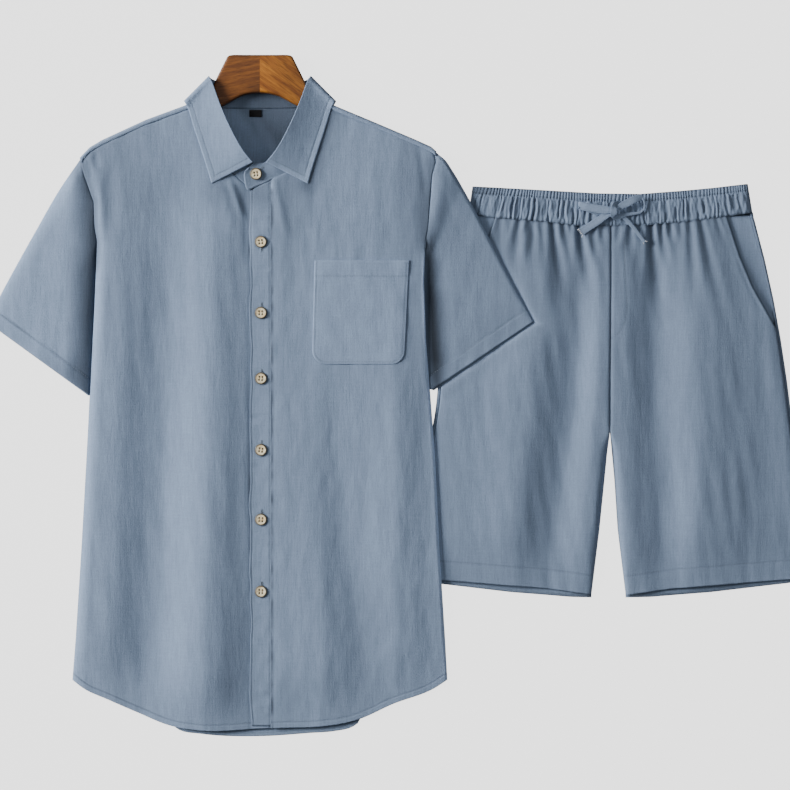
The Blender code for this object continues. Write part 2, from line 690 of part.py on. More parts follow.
def leaf_and_stand():
    """The collar leaf falls from the fold to its outer edge: rise * (1 - c)**1.5 above the shirt,
    where c runs from the fold to the edge. The stand climbs from the neck seam to just under it."""
    rows, rises = collar_rows()
    count, fronts = len(rows), len(rises)
    from_end = np.minimum(np.arange(count), count - 1 - np.arange(count))
    lies_on_shirt = (from_end < fronts)[:, None]
    rise = rises[np.minimum(from_end, fronts - 1)][:, None]

    def lying(points):
        across, up = points[..., 0], points[..., 1]
        return shirt_top(across, up) + LAID + WALL / 2 + placket_rise(np.abs(across))

    down = np.array([0.0, 0.07, 0.2, 0.36, 0.54, 0.76, 1.0])[None, :]
    leaf = rows[:, None, 0] + down[..., None] * (rows[:, None, 1] - rows[:, None, 0])
    leaf[..., 2] = np.where(lies_on_shirt, lying(leaf) + rise * (1.0 - down) ** 1.5, leaf[..., 2])
    fold_heights = leaf[:, 0, 2].copy()
    wall("collar_leaf", leaf, SHIRT_X, "cloth")

    down = np.array([0.0, 0.3, 0.65, 1.0])[None, :]
    stand = rows[:, None, 3] + down[..., None] * (rows[:, None, 2] - rows[:, None, 3])
    seam_height = shirt_top(rows[:, 2, 0], rows[:, 2, 1]) - WALL / 2
    top_height = fold_heights - WALL - LAID - 0.3
    climbing = seam_height[:, None] + (top_height - seam_height)[:, None] * (1.0 - down)
    stand[..., 2] = np.where(lies_on_shirt, climbing, stand[..., 2])
    ends = []
    for table in (STAND_END_UNDER, STAND_END_OVER):
        top = np.array([(*row[0], row[2]) for row in table])[:, None]
        low = np.array([(*row[1], row[2]) for row in table])[:, None]
        strip = top + down[..., None] * (low - top)
        crown = strip[..., 2] + STAND_CROWN * (1.0 - down)
        strip[..., 2] = shirt_top(strip[..., 0], strip[..., 1]) - WALL / 2 + crown
        ends.append(strip)
    whole = np.concatenate([ends[0], stand[1:-1], ends[1]])
    wall("collar_stand", whole, SHIRT_X, "cloth")


def button(name, across, up, rest):
    """A turned button with a raised rim, lying on the height in rest."""
    radius = BUTTON_DIAMETER / 2
    thick = BUTTON_THICKNESS
    profile = (
        (0.0, thick - 1.0),
        (0.62 * radius, thick - 1.0),
        (0.76 * radius, thick),
        (radius, thick - 0.5),
        (radius, 0.5),
        (0.9 * radius, 0.0),
        (0.0, 0.0),
    )
    mesh = bmesh.new()
    points = [mesh.verts.new((x * MM, 0.0, z * MM)) for x, z in profile]
    for first, second in zip(points, points[1:]):
        mesh.edges.new((first, second))
    data = bpy.data.meshes.new(name)
    mesh.to_mesh(data)
    mesh.free()
    thing = keep(name, data, "button_wood")
    thing.location = ((SHIRT_X + across) * MM, (LAYOUT_UP + up) * MM, rest * MM)
    turn = thing.modifiers.new("turn", "SCREW")
    turn.steps = turn.render_steps = 14
    turn.use_merge_vertices = True
    turn.merge_threshold = 0.00001


def buttons():
    ring = np.linspace(0.0, 2.0 * math.pi, 17)
    rim_across, rim_up = BUTTON_DIAMETER / 2 * np.cos(ring), BUTTON_DIAMETER / 2 * np.sin(ring)
    places = [COLLAR_BUTTON] + [(1.2, up) for up in BUTTON_UPS]
    for number, (across, up) in enumerate(places, 1):
        rest = shirt_top(across + rim_across, up + rim_up).max() + LAID + WALL + SEAM
        if number == 1:
            rest += STAND_CROWN
        button(f"button_{number}", across, up, rest)


def neck_label():
    plan = np.array([[(-13.8, 358.6), (1.6, 358.6)], [(-13.8, 349.6), (1.6, 349.6)]])
    rest = WALL + collar_step(plan[..., 0], plan[..., 1]).max() + SEAM
    shell("neck_label", placed(SHIRT_X, plan, rest + 1.0), placed(SHIRT_X, plan, rest), "label_black")


def hanger():
    """Two halves cut from flat board with rounded edges, meeting at an upright glued joint."""
    for name, hand, finish in (("hanger_right", -1.0, "hanger_dark"), ("hanger_left", 1.0, "hanger_light")):
        shoulder = curve(HANGER_SHOULDER, evenly(30))
        arch = curve(HANGER_ARCH, evenly(12))
        outline = stitched(shoulder, arch) * (hand, 1.0)
        outline[:, 0] += hand * HANGER_JOINT_GAP / 2
        data = bpy.data.curves.new(name, "CURVE")
        data.dimensions = "2D"
        data.fill_mode = "BOTH"
        data.bevel_depth = HANGER_EDGE_RADIUS * MM
        data.bevel_resolution = 1
        data.offset = -HANGER_EDGE_RADIUS * MM
        data.extrude = ((HANGER_FRONT - HANGER_BACK) / 2 - HANGER_EDGE_RADIUS) * MM
        line = data.splines.new("POLY")
        line.points.add(len(outline) - 1)
        flat = [(x * MM, y * MM, 0.0, 1.0) for x, y in outline]
        line.points.foreach_set("co", np.array(flat).ravel())
        line.use_cyclic_u = True
        thing = keep(name, data, finish)
        thing.location = (SHIRT_X * MM, LAYOUT_UP * MM, (HANGER_FRONT + HANGER_BACK) / 2 * MM)


def past_shirt(across, up):
    """Distance by which a point of the shorts lies outside the shirt and its sleeve."""
    from_shirt = across + SHORTS_X - SHIRT_X
    tip = np.array(SLEEVE_TOP_LEFT[-1])

    def past(line):
        line = line / np.linalg.norm(line)
        return line[0] * (up - tip[1]) - line[1] * (from_shirt - tip[0])

    past_top = past(tip - np.array(SLEEVE_TOP_LEFT[2]))
    past_cuff = past(np.array(CUFF_LEFT) - tip)
    return np.minimum(np.maximum(past_top, past_cuff), from_shirt - side(up, 2))


def pressed(height, across, up):
    """Height of the shorts once the shirt lies on them."""
    free = ease((past_shirt(across, up) - 18.0) / 45.0)
    low = np.minimum(height, SHORTS_HEIGHT_UNDER_SHIRT)
    return low + (height - low) * free


def inseam(up, hand):
    """Where the inner edge of a leg lies: the centre seam above the crotch, the inseam below."""
    rows = np.array(INSEAM_RIGHT if hand < 0 else INSEAM_LEFT)[::-1]
    below = np.interp(up, rows[:, 1], rows[:, 0])
    return np.where(up > rows[-1, 1], -1.6 * ease((213.6 - up) / 257.0), below)


def shorts_height(across, up):
    """Height of the shorts' front before the shirt presses on it."""
    height = folds(SHORTS_FOLDS, across, up)
    from_side = shorts_edge(up) - np.abs(across)
    from_inseam = np.where(across < -1.6, inseam(up, -1.0) - across, across - inseam(up, 1.0))
    open_leg = ease((-44.0 - up) / 30.0)
    inner = 1.0 - (1.0 - roll(from_inseam / 12.0)) * open_leg
    return SEAT + (height - SEAT) * roll(from_side / EDGE_ROLL) * inner


def gathers(u, up):
    """Height of the gathers below the waist seam, which fade out down the leg."""
    fade = 1.0 - ease((214.0 - up) / 95.0)
    uneven = 0.8 + 0.2 * np.sin(17.0 * u) * np.cos(9.0 * u)
    return 1.7 * fade * uneven * np.cos(2.0 * math.pi * WAIST_GATHERS_PER_SIDE * u)


def waist(across):
    rows = np.array(WAIST_SEAM, float)
    return np.interp(across, rows[:, 0], rows[:, 1])


def shorts_panel(hand, front):
    """Plan of a leg's front or back panel, from the centre outwards and from the waist down."""
    columns = evenly(2 * WAIST_GATHERS_PER_SIDE + 1) if front else evenly(7)
    inner_ups = np.array([213.6, 198.0, 172.0, 144.0, 112.0, 70.0, 10.0, -44.0, -105.0, -168.0, -249.0])
    outer_ups = np.array([225.5, 208.0, 175.0, 135.5, 110.0, 86.0, 20.0, -35.0, -90.0, -150.0, -229.0])
    rows = (inner_ups[0] - inner_ups) / (inner_ups[0] - inner_ups[-1])
    hem_rows = np.array(SHORTS_HEM)
    hem_ups = hem_rows[:, 1 if front else 2]
    inner_ups[-1] = hem_ups[0]
    inner = np.stack([inseam(inner_ups, hand) + hand * 0.2, inner_ups], axis=-1)
    opening = np.array(POCKET_OPENING)
    outer_out = shorts_edge(outer_ups) - (3.0 if front else 0.0)
    if front:
        at_pocket = outer_ups > 86.0
        outer_out[at_pocket] = np.interp(-outer_ups[at_pocket], -opening[:, 1], opening[:, 0])
    outer = np.stack([hand * outer_out, outer_ups], axis=-1)
    if not front:
        outer[0] = (hand * 177.0, waist(hand * 177.0) - SEAM)
    top_across = inner[0, 0] + columns * (outer[0, 0] - inner[0, 0])
    top = np.stack([top_across, waist(top_across)], axis=-1)
    inner[0], outer[0] = top[0], top[-1]
    low_across = inner[-1, 0] + columns * (outer[-1, 0] - inner[-1, 0])
    bottom = np.stack([low_across, np.interp(np.abs(low_across), hem_rows[:, 0], hem_ups)], axis=-1)
    inner[-1], outer[-1] = bottom[0], bottom[-1]
    return patch(top, bottom, inner, outer, columns, rows), columns


def shorts_legs():
    for name, hand in (("right", -1.0), ("left", 1.0)):
        plan, columns = shorts_panel(hand, front=True)
        across, up = plan[..., 0], plan[..., 1]
        height = shorts_height(across, up) + gathers(columns[None, :], up)
        top = placed(SHORTS_X, plan, pressed(height, across, up))
        hung_sheet(f"shorts_front_{name}", top, LAYER, "cloth")
        plan, _ = shorts_panel(hand, front=False)
        flat_sheet(f"shorts_back_{name}", plan, SHORTS_X, 0.0, "cloth_back")


def pocket_facings():
    """The cloth that shows in each slanted pocket opening, from just under the front to the side."""
    for name, hand in (("right", -1.0), ("left", 1.0)):
        opening = np.array(POCKET_OPENING)
        ups = np.array([225.0, 200.0, 175.0, 150.0, 125.0, 98.0])
        at_opening = np.interp(-ups, -opening[:, 1], opening[:, 0])
        at_side = shorts_edge(ups) - 3.0
        across_places = np.array([0.0, 0.25, 0.6, 1.0])
        start = at_opening - 8.0
        out = start[:, None] + across_places * (at_side - start)[:, None]
        plan = np.stack([hand * out, np.broadcast_to(ups[:, None], out.shape)], axis=-1)
        front = pressed(shorts_height(plan[..., 0], plan[..., 1]), plan[..., 0], plan[..., 1])
        under = front - WALL * 1.5 - 1.4
        settled = 1.0 - ease((out - at_opening[:, None] + 8.0) / np.maximum(at_side - start, 1.0)[:, None])
        top = np.maximum(SEAT, np.minimum(SEAT + (front - SEAT) * 0.62 * settled, under))
        outer, inner = placed(SHORTS_X, plan, top), placed(SHORTS_X, plan, top - WALL)
        shell(f"pocket_facing_{name}", outer, inner, "cloth")


def waistband():
    """The elastic casing: a row of small gathers, crossed by the stitch line of its frilled top."""
    count = 2 * BAND_GATHERS + 1
    u = evenly(count)
    drop = np.array([0.0, 0.24, 0.42, 0.75, 1.0])
    heights = np.array([6.4, 7.6, 9.2, 9.0, 7.8])[:, None]
    waves = np.array([0.9, 0.4, 1.0, 1.0, 1.0])[:, None]
    top_rows = np.array(WAIST_TOP, float)
    top_across = -173.5 + u * 345.0
    low_across = -178.5 + u * 356.0
    top_up = np.interp(top_across, top_rows[:, 0], top_rows[:, 1])
    low_up = waist(low_across) + 0.5
    across = top_across + drop[:, None] * (low_across - top_across)
    up = top_up + drop[:, None] * (low_up - top_up)
    plan = np.stack([across, up], axis=-1)
    ends = roll(np.minimum(u, 1.0 - u) * 345.0 / 9.0)
    wave = waves * np.cos(math.pi * np.arange(count))[None, :]
    height = SEAT + (heights + wave - SEAT) * ends
    hung_sheet("waistband_front", placed(SHORTS_X, plan, pressed(height, across, up)), LAYER, "cloth")
    flat_sheet("waistband_back", plan[[0, -1], ::8], SHORTS_X, 0.0, "cloth_back")


def drawstring(name, route):
    """One end of the tape as a plain tube along its route."""
    data = bpy.data.curves.new(name, "CURVE")
    data.dimensions = "3D"
    data.fill_mode = "FULL"
    data.bevel_depth = TAPE_TUBE / 2 * MM
    data.bevel_resolution = 1
    data.use_fill_caps = True
    points = curve(route, evenly(56)) + np.array([SHORTS_X, LAYOUT_UP, 0.0])
    line = data.splines.new("POLY")
    line.points.add(len(points) - 1)
    line.points.foreach_set("co", np.column_stack([points * MM, np.ones(len(points))]).ravel())
    keep(name, data, "cloth")


def main():
    for thing in list(bpy.data.objects):
        bpy.data.objects.remove(thing)
    holder = bpy.data.collections.new("summer_set")
    bpy.context.scene.collection.children.link(holder)
    shirt_fronts()
    placket()
    chest_pocket()
    shirt_back()
    shirt_yoke()
    sleeve("sleeve_right", 1)
    sleeve("sleeve_left", 2)
    leaf_and_stand()
    buttons()
    neck_label()
    hanger()
    shorts_legs()
    pocket_facings()
    waistband()
    drawstring("drawstring_right", DRAWSTRING_RIGHT)
    drawstring("drawstring_left", DRAWSTRING_LEFT)


main()
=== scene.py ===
"""Looks of a man's summer set laid flat: a short-sleeved linen shirt on a wooden hanger, and
drawstring shorts whose side lies under the shirt's sleeve.

Lengths are in millimetres until a mesh is made. "across" is measured from a garment's own centre
line, positive to the viewer's right, and "up" runs towards the collar from the middle of the layout.
Left and right in the names are the wearer's.
"""

import math

import bpy
import numpy as np
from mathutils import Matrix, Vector


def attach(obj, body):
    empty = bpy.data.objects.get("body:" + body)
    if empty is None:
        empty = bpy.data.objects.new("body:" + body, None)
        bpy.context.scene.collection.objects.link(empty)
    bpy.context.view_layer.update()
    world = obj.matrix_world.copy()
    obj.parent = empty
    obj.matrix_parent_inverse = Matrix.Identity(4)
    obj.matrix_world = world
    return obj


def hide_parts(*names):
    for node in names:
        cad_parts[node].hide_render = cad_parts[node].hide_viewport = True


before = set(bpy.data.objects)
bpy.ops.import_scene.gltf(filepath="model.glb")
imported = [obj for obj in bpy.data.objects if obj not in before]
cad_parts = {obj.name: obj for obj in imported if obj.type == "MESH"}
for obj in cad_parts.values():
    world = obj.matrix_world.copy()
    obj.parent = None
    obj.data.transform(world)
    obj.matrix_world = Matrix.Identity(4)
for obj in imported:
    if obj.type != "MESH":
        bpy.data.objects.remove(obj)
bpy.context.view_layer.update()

MM = 0.001

# Camera: straight above, so that 790 pixels show 987.5 mm of the cloth.
CAMERA_PLACE = (-0.00415, 0.00105, 3.6)
CAMERA_LENS = 130.8

# Ground
FLOOR_HALF, FLOOR_LEVEL = 6000.0, -0.4

# Cloth: the solids' wall, the gap at a seam, and how far cloth stands off what it is laid on.
WALL, SEAM, LAID = 1.3, 0.3, 0.45
# Height of a layer with its gap, and of the outer face of cloth that lies on it.
LAYER = WALL + SEAM
SEAT = LAYER + WALL
# Thickness that single cloth, doubled cloth and a turned-up hem's second layer are given here.
CLOTH_THICK, DOUBLE_THICK, HEM_THICK = 0.9, 1.25, 0.45
# A wave length that leaves no wave in its direction.
NO_WAVES = 1e9

# Layout: both centre lines, the layout's middle, and the shorts' height where the shirt lies on them.
SHIRT_X, SHORTS_X = -172.9, 266.5
LAYOUT_UP = -0.2
SHORTS_HEIGHT_UNDER_SHIRT = 4.7
LIFT = SHORTS_HEIGHT_UNDER_SHIRT + 0.4

# Placket: its sides, its slanted top and its bottom, how far the front below it is pressed down, how
# far it lies over the front, and how far in it is stitched.
PLACKET_LEFT, PLACKET_RIGHT = -12.5, 15.0
PLACKET_TOP_LEFT, PLACKET_TOP_RIGHT, PLACKET_BOTTOM = 257.6, 270.0, -413.0
UNDER_PLACKET, PLACKET_OVER, PLACKET_STITCH = 0.5, 1.35, 2.8
# Chest pocket: its ends up, its round corners, both sides across at the top and at the bottom, how far
# it lies over the front, how far in it is stitched, and the depth of its hem.
POCKET_TOP, POCKET_BOTTOM, POCKET_CORNER = 169.6, 39.5, 17.5
POCKET_INNER, POCKET_OUTER = (68.4, 65.4), (187.0, 181.6)
POCKET_OVER, POCKET_STITCH, POCKET_HEM = 1.15, 3.2, 20.0
# Depth of the shirt's and the cuffs' hems, and how far in the collar leaf is stitched.
HEM_FOLD, CUFF_FOLD, LEAF_STITCH = 7.2, 17.0, 6.6
# Sleeves: the armhole's lower end, the length from the armhole to the cuff, and the height of the right
# sleeve's edges.
UNDERARM_UP, SLEEVE_LENGTH, EDGE_SEAT = 192.0, 300.0, 2.1
# Yoke: how far down the front its seam is, where the back seam is, how far out its ends are, and its
# wrap over the hanger's arm: down from the shoulder line, height.
YOKE_STRIP, BACK_SEAM_UP = 5.8, 243.0
YOKE_END_RIGHT, YOKE_END_LEFT = 224.4, 220.3
YOKE_WRAP = ((6.5, 18.1), (4.8, 18.7), (1.9, 18.4), (0.7, 16.0), (0.5, 12.0), (0.65, 5.6), (2.4, 1.7),
             (7.0, 0.65))
# Buttons: width, distance of a thread hole from both middle lines, half a buttonhole, and the places
# of all seven, from the collar down: across, up.
BUTTON_DIAMETER, HOLE_OUT, BUTTONHOLE_HALF = 15.0, 1.9, 8.5
BUTTON_PLACES = ((-4.6, 277.0), (1.2, 192.5), (1.2, 104.0), (1.2, 22.0), (1.2, -67.5), (1.2, -154.5),
                 (1.2, -244.5))
# How far the collar stand's upper edge stands off at the front, and the sides of the neck label.
STAND_CROWN = 2.6
LABEL_LEFT, LABEL_RIGHT, LABEL_TOP, LABEL_BOTTOM = -13.8, 1.6, 358.6, 349.6
# Reach of the round edge where a garment's side turns down.
EDGE_ROLL = 16.0
# Heights of the hanger's back and front, and of the shirt's outer face over its arm.
HANGER_BACK, HANGER_FRONT = 3.4, 16.4
SHIRT_OVER_HANGER = HANGER_FRONT + 0.5 + WALL

# Waistband: gathers and width of its frilled top, and gathers, width and height of the band.
FRILL_GATHERS, FRILL_WIDTH = 92, 345.0
BAND_GATHERS, BAND_WIDTH, BAND_HEIGHT = 40, 356.0, 47.0
# Shorts: half the waist, how far up the middle of the waist and the crotch are, how far aside the
# centre seam leans and over what length, how far in the side seam lies, how far from a pocket opening
# and from the hem the stitches run, and the fly's line of stitches: across, up.
WAIST_HALF, WAIST_UP, CROTCH_UP = 177.0, 213.6, -44.0
CENTRE_SEAM_LEAN, CENTRE_SEAM_LENGTH = -1.6, 257.0
SIDE_SEAM_IN, OPENING_STITCH, LEG_HEM = 3.0, 5.5, 24.0
FLY = ((15.5, 205.0), (17.0, 150.0), (18.5, 110.0), (16.0, 92.0), (9.0, 79.0), (0.5, 72.0))

# The wearer's right side is 1 and the left 2, and this is the way outwards from the centre on each.
HANDS = {1: -1.0, 2: 1.0}

# Side edges of the shirt, armhole to hem: up, across on side 1, across on side 2.
SHIRT_SIDES = (
    (297.5, -225.0, 220.5),
    (275.0, -218.8, 214.5),
    (243.0, -207.5, 212.0),
    (214.0, -207.0, 209.8),
    (192.5, -204.0, 207.0),
    (144.0, -206.3, 204.8),
    (72.0, -209.9, 207.0),
    (4.0, -213.2, 212.2),
    (-80.0, -217.5, 218.5),
    (-192.0, -223.8, 223.8),
    (-305.0, -231.0, 231.0),
    (-356.0, -235.0, 233.8),
)

# Shoulder lines from the armhole to the neck: across, up.
SHOULDER_RIGHT = ((-225.0, 297.5), (-212.5, 310.6), (-197.5, 319.6), (-142.5, 345.0), (-82.0, 367.3))
SHOULDER_LEFT = ((222.0, 304.0), (214.0, 311.4), (195.0, 320.0), (136.0, 345.0), (82.0, 367.5))
SHOULDERS = {1: SHOULDER_RIGHT, 2: SHOULDER_LEFT}

# Neck edge of each front, from the shoulder to the button stand: across, up.
NECKLINES = {
    1: ((-79.0, 360.5), (-70.5, 334.0), (-57.0, 305.5), (-38.0, 280.5), (-15.0, 262.5), (12.5, 257.0)),
    2: ((79.0, 360.5), (70.5, 334.0), (57.0, 305.5), (38.0, 281.3), (15.3, 270.6)),
}

# Curved hems: across, up.
FRONT_HEM = (
    (-235.0, -356.0), (-219.0, -367.5), (-191.0, -380.0), (-155.0, -396.0), (-112.0, -413.0),
    (-70.0, -419.0), (0.0, -416.5), (28.0, -415.5), (74.0, -414.0), (122.0, -405.5),
    (167.0, -385.5), (217.5, -366.5), (233.8, -356.0),
)
BACK_HEM = (
    (-235.0, -356.0), (-191.0, -377.5), (-155.0, -393.0), (-116.0, -408.0), (-101.0, -419.0), (-75.0, -423.5),
    (0.0, -426.5), (62.0, -422.5), (94.0, -420.0), (115.0, -415.0), (123.0, -409.5), (127.0, -400.0),
    (167.0, -381.5), (217.5, -363.0), (233.8, -356.0),
)

# How much deeper the folds are than in the solids, measured from their hollows.
SHIRT_FOLD_GAIN, SHORTS_FOLD_GAIN, FOLD_BASE = 1.4, 1.18, 5.0

# Hanging folds of the front: up, then (across, height) of each ridge and hollow from the viewer's left.
SHIRT_FOLDS = (
    (330, (-186, 18), (-110, 17.4), (-60, 18.4), (-12, 17.6), (85, 18.2), (122, 18), (187, 18), (212, 17.8)),
    (200, (-184, 16.8), (-118, 12), (-60, 16.6), (-6, 12.8), (85, 14.4), (122, 14.4), (180, 13.6), (205, 12.4)),
    (100, (-186, 14.6), (-118, 7.6), (-60, 15.0), (-5, 9.8), (76, 11.9), (104, 11.9), (162, 11.8), (207, 7.0)),
    (0, (-188, 13.0), (-120, 6.0), (-61, 14.6), (-4, 8.6), (66, 11.0), (94, 10.0), (160, 11.6), (212, 4.8)),
    (-150, (-190, 12.4), (-126, 5.0), (-64, 15.0), (-4, 8.0), (66, 11.4), (105, 7.6), (162, 9.6), (216, 5.4)),
    (-280, (-194, 11.6), (-134, 4.6), (-67, 15.6), (-4, 7.8), (76, 11.6), (126, 6.4), (170, 8.6), (220, 5.6)),
    (-400, (-200, 11.0), (-146, 4.5), (-71, 15.8), (-4, 7.6), (82, 11.2), (138, 6.2), (178, 8.0), (224, 5.6)),
)

# Single creases of the shirt: across and up of both ends, half width, height (below 0 for a hollow).
SHIRT_CREASES = (
    (-37.0, 268.0, -21.0, 222.0, 3.2, 1.1),
    (-29.0, 266.0, -17.0, 228.0, 2.8, -1.0),
    (-18.5, 262.0, -15.5, 170.0, 5.0, -2.0),
    (-48.0, 262.0, -34.0, 205.0, 6.0, 0.8),
    (-199.0, 276.0, -197.0, 196.0, 5.5, 1.5),
    (-184.0, 290.0, -184.0, 215.0, 7.0, -0.8),
    (-204.0, 304.0, -203.0, 286.0, 4.5, -1.3),
    (-214.0, 292.0, -210.0, 272.0, 3.5, -0.9),
    (17.0, 272.0, 32.0, 205.0, 5.0, 1.5),
    (199.0, 312.0, 207.0, 250.0, 5.0, -1.0),
    (70.5, 214.0, 69.5, 176.0, 4.5, 0.6),
)

# Places of painted shade on the front, painted light where the depth is below 0: across and up of the
# middle, half width, half length, depth.
SHIRT_PAINTED_SHADE = (
    (-160.0, 272.0, 48.0, 100.0, 0.2),
    (-110.0, 120.0, 30.0, 130.0, 0.1),
    (-55.0, 258.0, 18.0, 24.0, 0.25),
    (38.0, 232.0, 36.0, 70.0, 0.2),
    (186.0, 268.0, 22.0, 100.0, 0.25),
    (-20.0, 252.0, 14.0, 26.0, 0.3),
    (-196.0, 290.0, 26.0, 34.0, 0.16),
    (40.0, -60.0, 30.0, 220.0, 0.08),
    (-34.0, -350.0, 24.0, 90.0, 0.16),
    (-190.0, -340.0, 18.0, 50.0, 0.12),
    (134.0, -300.0, 20.0, 110.0, 0.13),
    (182.0, -280.0, 14.0, 120.0, -0.1),
    (78.0, 120.0, 26.0, 60.0, -0.08),
    (205.0, 226.0, 10.0, 50.0, 0.26),
)

# What differs in the shade of the two fronts: beside the armhole its low end, soft length, high end,
# reach and depth; depth and reach round the collar leaf; and the placket's edge.
FRONT_TONES = {
    1: ((140.0, 30.0, 288.0, 8.0, 0.5), (0.12, 5.0), PLACKET_LEFT - 0.6),
    2: ((165.0, 40.0, 292.0, 24.0, 0.45), (0.46, 13.0), PLACKET_RIGHT + 0.4),
}

# Up, and height of the armhole seam and the shirt's side there, on the wearer's right and left.
ARMHOLE_HEIGHTS = ((115.0, SEAT), (150.0, 5.2), (192.0, 9.0), (243.0, 13.2), (285.0, 16.4), (320.0, 17.4))
ARMHOLE_HEIGHTS_LEFT = ((20.0, 1.4), (80.0, 5.0), (150.0, 9.6), (192.0, 12.6), (243.0, 16.6), (285.0, 18.0),
                        (320.0, 18.4))

# Folded top edge of each sleeve, from the shoulder to the cuff, and the lower end of its cuff:
# across, up.
SLEEVE_TOP_RIGHT = ((-225.0, 297.5), (-252.0, 258.0), (-282.0, 206.0), (-325.0, 128.0), (-342.5, 94.0))
SLEEVE_TOP_LEFT = ((222.0, 302.5), (231.5, 294.8), (240.0, 282.5), (262.0, 245.0), (312.0, 147.0),
                   (341.5, 93.0))
SLEEVE_TOPS = {1: SLEEVE_TOP_RIGHT, 2: SLEEVE_TOP_LEFT}
CUFF_ENDS = {1: (-214.0, 0.8), 2: (216.0, 7.5)}
# Down each sleeve, from 0 at the armhole to 1 at the cuff: the height of its middle, the part by which
# it is reached, and the heights of the armhole seam.
SLEEVE_ROWS = (0.0, 0.08, 0.2, 0.36, 0.52, 0.68, 0.84, 1.0)
SLEEVE_HEIGHTS = {
    1: ((SLEEVE_ROWS, (11.0, 10.6, 10.0, 9.4, 8.8, 8.2, 7.8, 7.4)), 0.36, ARMHOLE_HEIGHTS),
    2: ((SLEEVE_ROWS, (17.0, 14.2, 10.4, 7.2, 5.6, 4.6, 4.0, 3.7)), 0.24, ARMHOLE_HEIGHTS_LEFT),
}
LEFT_SLEEVE_SEAT = ((0.0, 0.06, 0.2, 0.4, 1.0), (15.0, 12.0, 6.0, 2.0, 1.1))

# The collar over the front: fold, outer edge of the leaf and neck seam, each (out, up), and the rise
# of the fold. "out" is the distance from the centre line, alike on both sides.
COLLAR_FRONT = (
    ((8.0, 291.5), (60.0, 265.5), (16.5, 264.5), 6.4),
    ((21.5, 308.0), (66.0, 286.0), (36.5, 283.0), 7.8),
    ((36.3, 335.0), (74.0, 311.0), (56.0, 308.0), 8.2),
    ((49.0, 364.0), (82.5, 337.0), (69.5, 336.0), 7.4),
    ((58.5, 390.0), (88.5, 357.0), (77.8, 361.0), 5.0),
)
# Round the side and the back: fold, outer edge of the leaf, neck seam, top of the stand, each
# (out, up, height).
COLLAR_BACK = (
    ((61.4, 395.6, 23.2), (92.8, 365.6, 20.8), (80.2, 365.4, 16.8), (59.6, 393.8, 21.4)),
    ((63.0, 398.6, 20.4), (94.2, 367.8, 18.2), (81.6, 367.6, 14.0), (61.0, 396.4, 18.6)),
    ((63.4, 399.5, 12.0), (94.6, 368.4, 10.5), (82.4, 369.0, 10.5), (61.4, 397.3, 12.0)),
    ((62.4, 398.5, 3.6), (94.0, 367.4, 3.0), (80.8, 367.4, 5.6), (60.6, 396.2, 5.2)),
    ((58.5, 396.5, 0.9), (90.5, 363.0, 0.65), (77.0, 365.6, 3.2), (57.4, 394.4, 2.7)),
    ((50.0, 393.5, 0.65), (80.0, 356.0, 0.65), (69.0, 362.6, 2.4), (49.6, 391.6, 2.55)),
    ((28.0, 390.0, 0.65), (44.0, 347.5, 0.65), (38.0, 361.0, 2.4), (28.0, 388.2, 2.55)),
    ((0.0, 389.0, 0.65), (0.0, 346.0, 0.65), (0.0, 360.5, 2.4), (0.0, 387.2, 2.55)),
)
# Front ends of the stand: top edge and lower edge, each (across, up), and the rise over the cloth
# below. The viewer's right end lies over.
STAND_END_UNDER = (((-2.0, 288.0), (-6.0, 262.0), 0.0), ((-8.3, 290.4), (-16.5, 264.5), 0.0))
STAND_END_OVER = (
    ((7.0, 291.8), (13.5, 270.8), 1.75),
    ((-6.5, 290.8), (0.5, 264.5), 1.75),
    ((-20.5, 282.0), (-18.2, 257.6), 3.7),
)

# Half of the hanger from its joint to the end of its arm: upper edge and lower edge, each (out, up).
HANGER_HALF = (
    ((0.0, 426.3), (0.0, 378.8)),
    ((18.0, 426.3), (9.0, 378.3)),
    ((34.0, 426.3), (17.0, 376.8)),
    ((40.0, 424.5), (21.0, 375.6)),
    ((43.0, 419.5), (25.0, 374.2)),
    ((49.0, 407.5), (33.0, 370.0)),
    ((55.6, 394.0), (42.0, 365.0)),
    ((60.5, 382.0), (50.0, 360.5)),
    ((65.5, 368.0), (58.0, 355.2)),
    ((73.5, 358.5), (68.0, 348.6)),
    ((84.0, 356.6), (80.0, 340.6)),
    ((106.0, 350.8), (106.0, 324.5)),
    ((150.0, 332.5), (147.0, 306.0)),
    ((186.0, 317.0), (178.0, 293.5)),
    ((196.0, 311.0), (190.0, 289.0)),
    ((200.5, 302.5), (198.0, 292.0)),
)

# Side edges of the shorts, waist to hem: out, up.
SHORTS_SIDE = (
    (176.0, 230.0), (179.0, 220.0), (192.0, 170.0), (203.0, 120.0), (212.0, 70.0), (219.5, 20.0),
    (229.0, -55.0), (239.0, -142.0), (249.0, -229.0),
)
# Slanted pocket opening: out, up.
POCKET_OPENING = ((144.0, 225.5), (160.5, 175.0), (177.0, 135.5), (205.5, 86.0))
# Seam under the waistband, and its frilled top: across, up.
WAIST_SEAM = ((-177, 229.5), (-149, 224.0), (-109, 221.0), (-76, 218.0), (-43, 214.0), (0, 213.6),
              (46, 214.5), (97, 218.8), (124, 222.5), (144, 225.5), (177, 230.0))
WAIST_TOP = ((-172, 262.5), (-103, 258.8), (-18, 253.8), (36, 253.0), (89, 257.0), (129, 260.8), (169, 265.5))
# Inseams from the crotch to the hem: across, up.
INSEAM_RIGHT = ((-2.0, -44.0), (-8.0, -105.0), (-14.4, -167.5), (-24.5, -249.0))
INSEAM_LEFT = ((-1.2, -44.0), (4.4, -105.0), (8.5, -167.5), (18.5, -249.0))
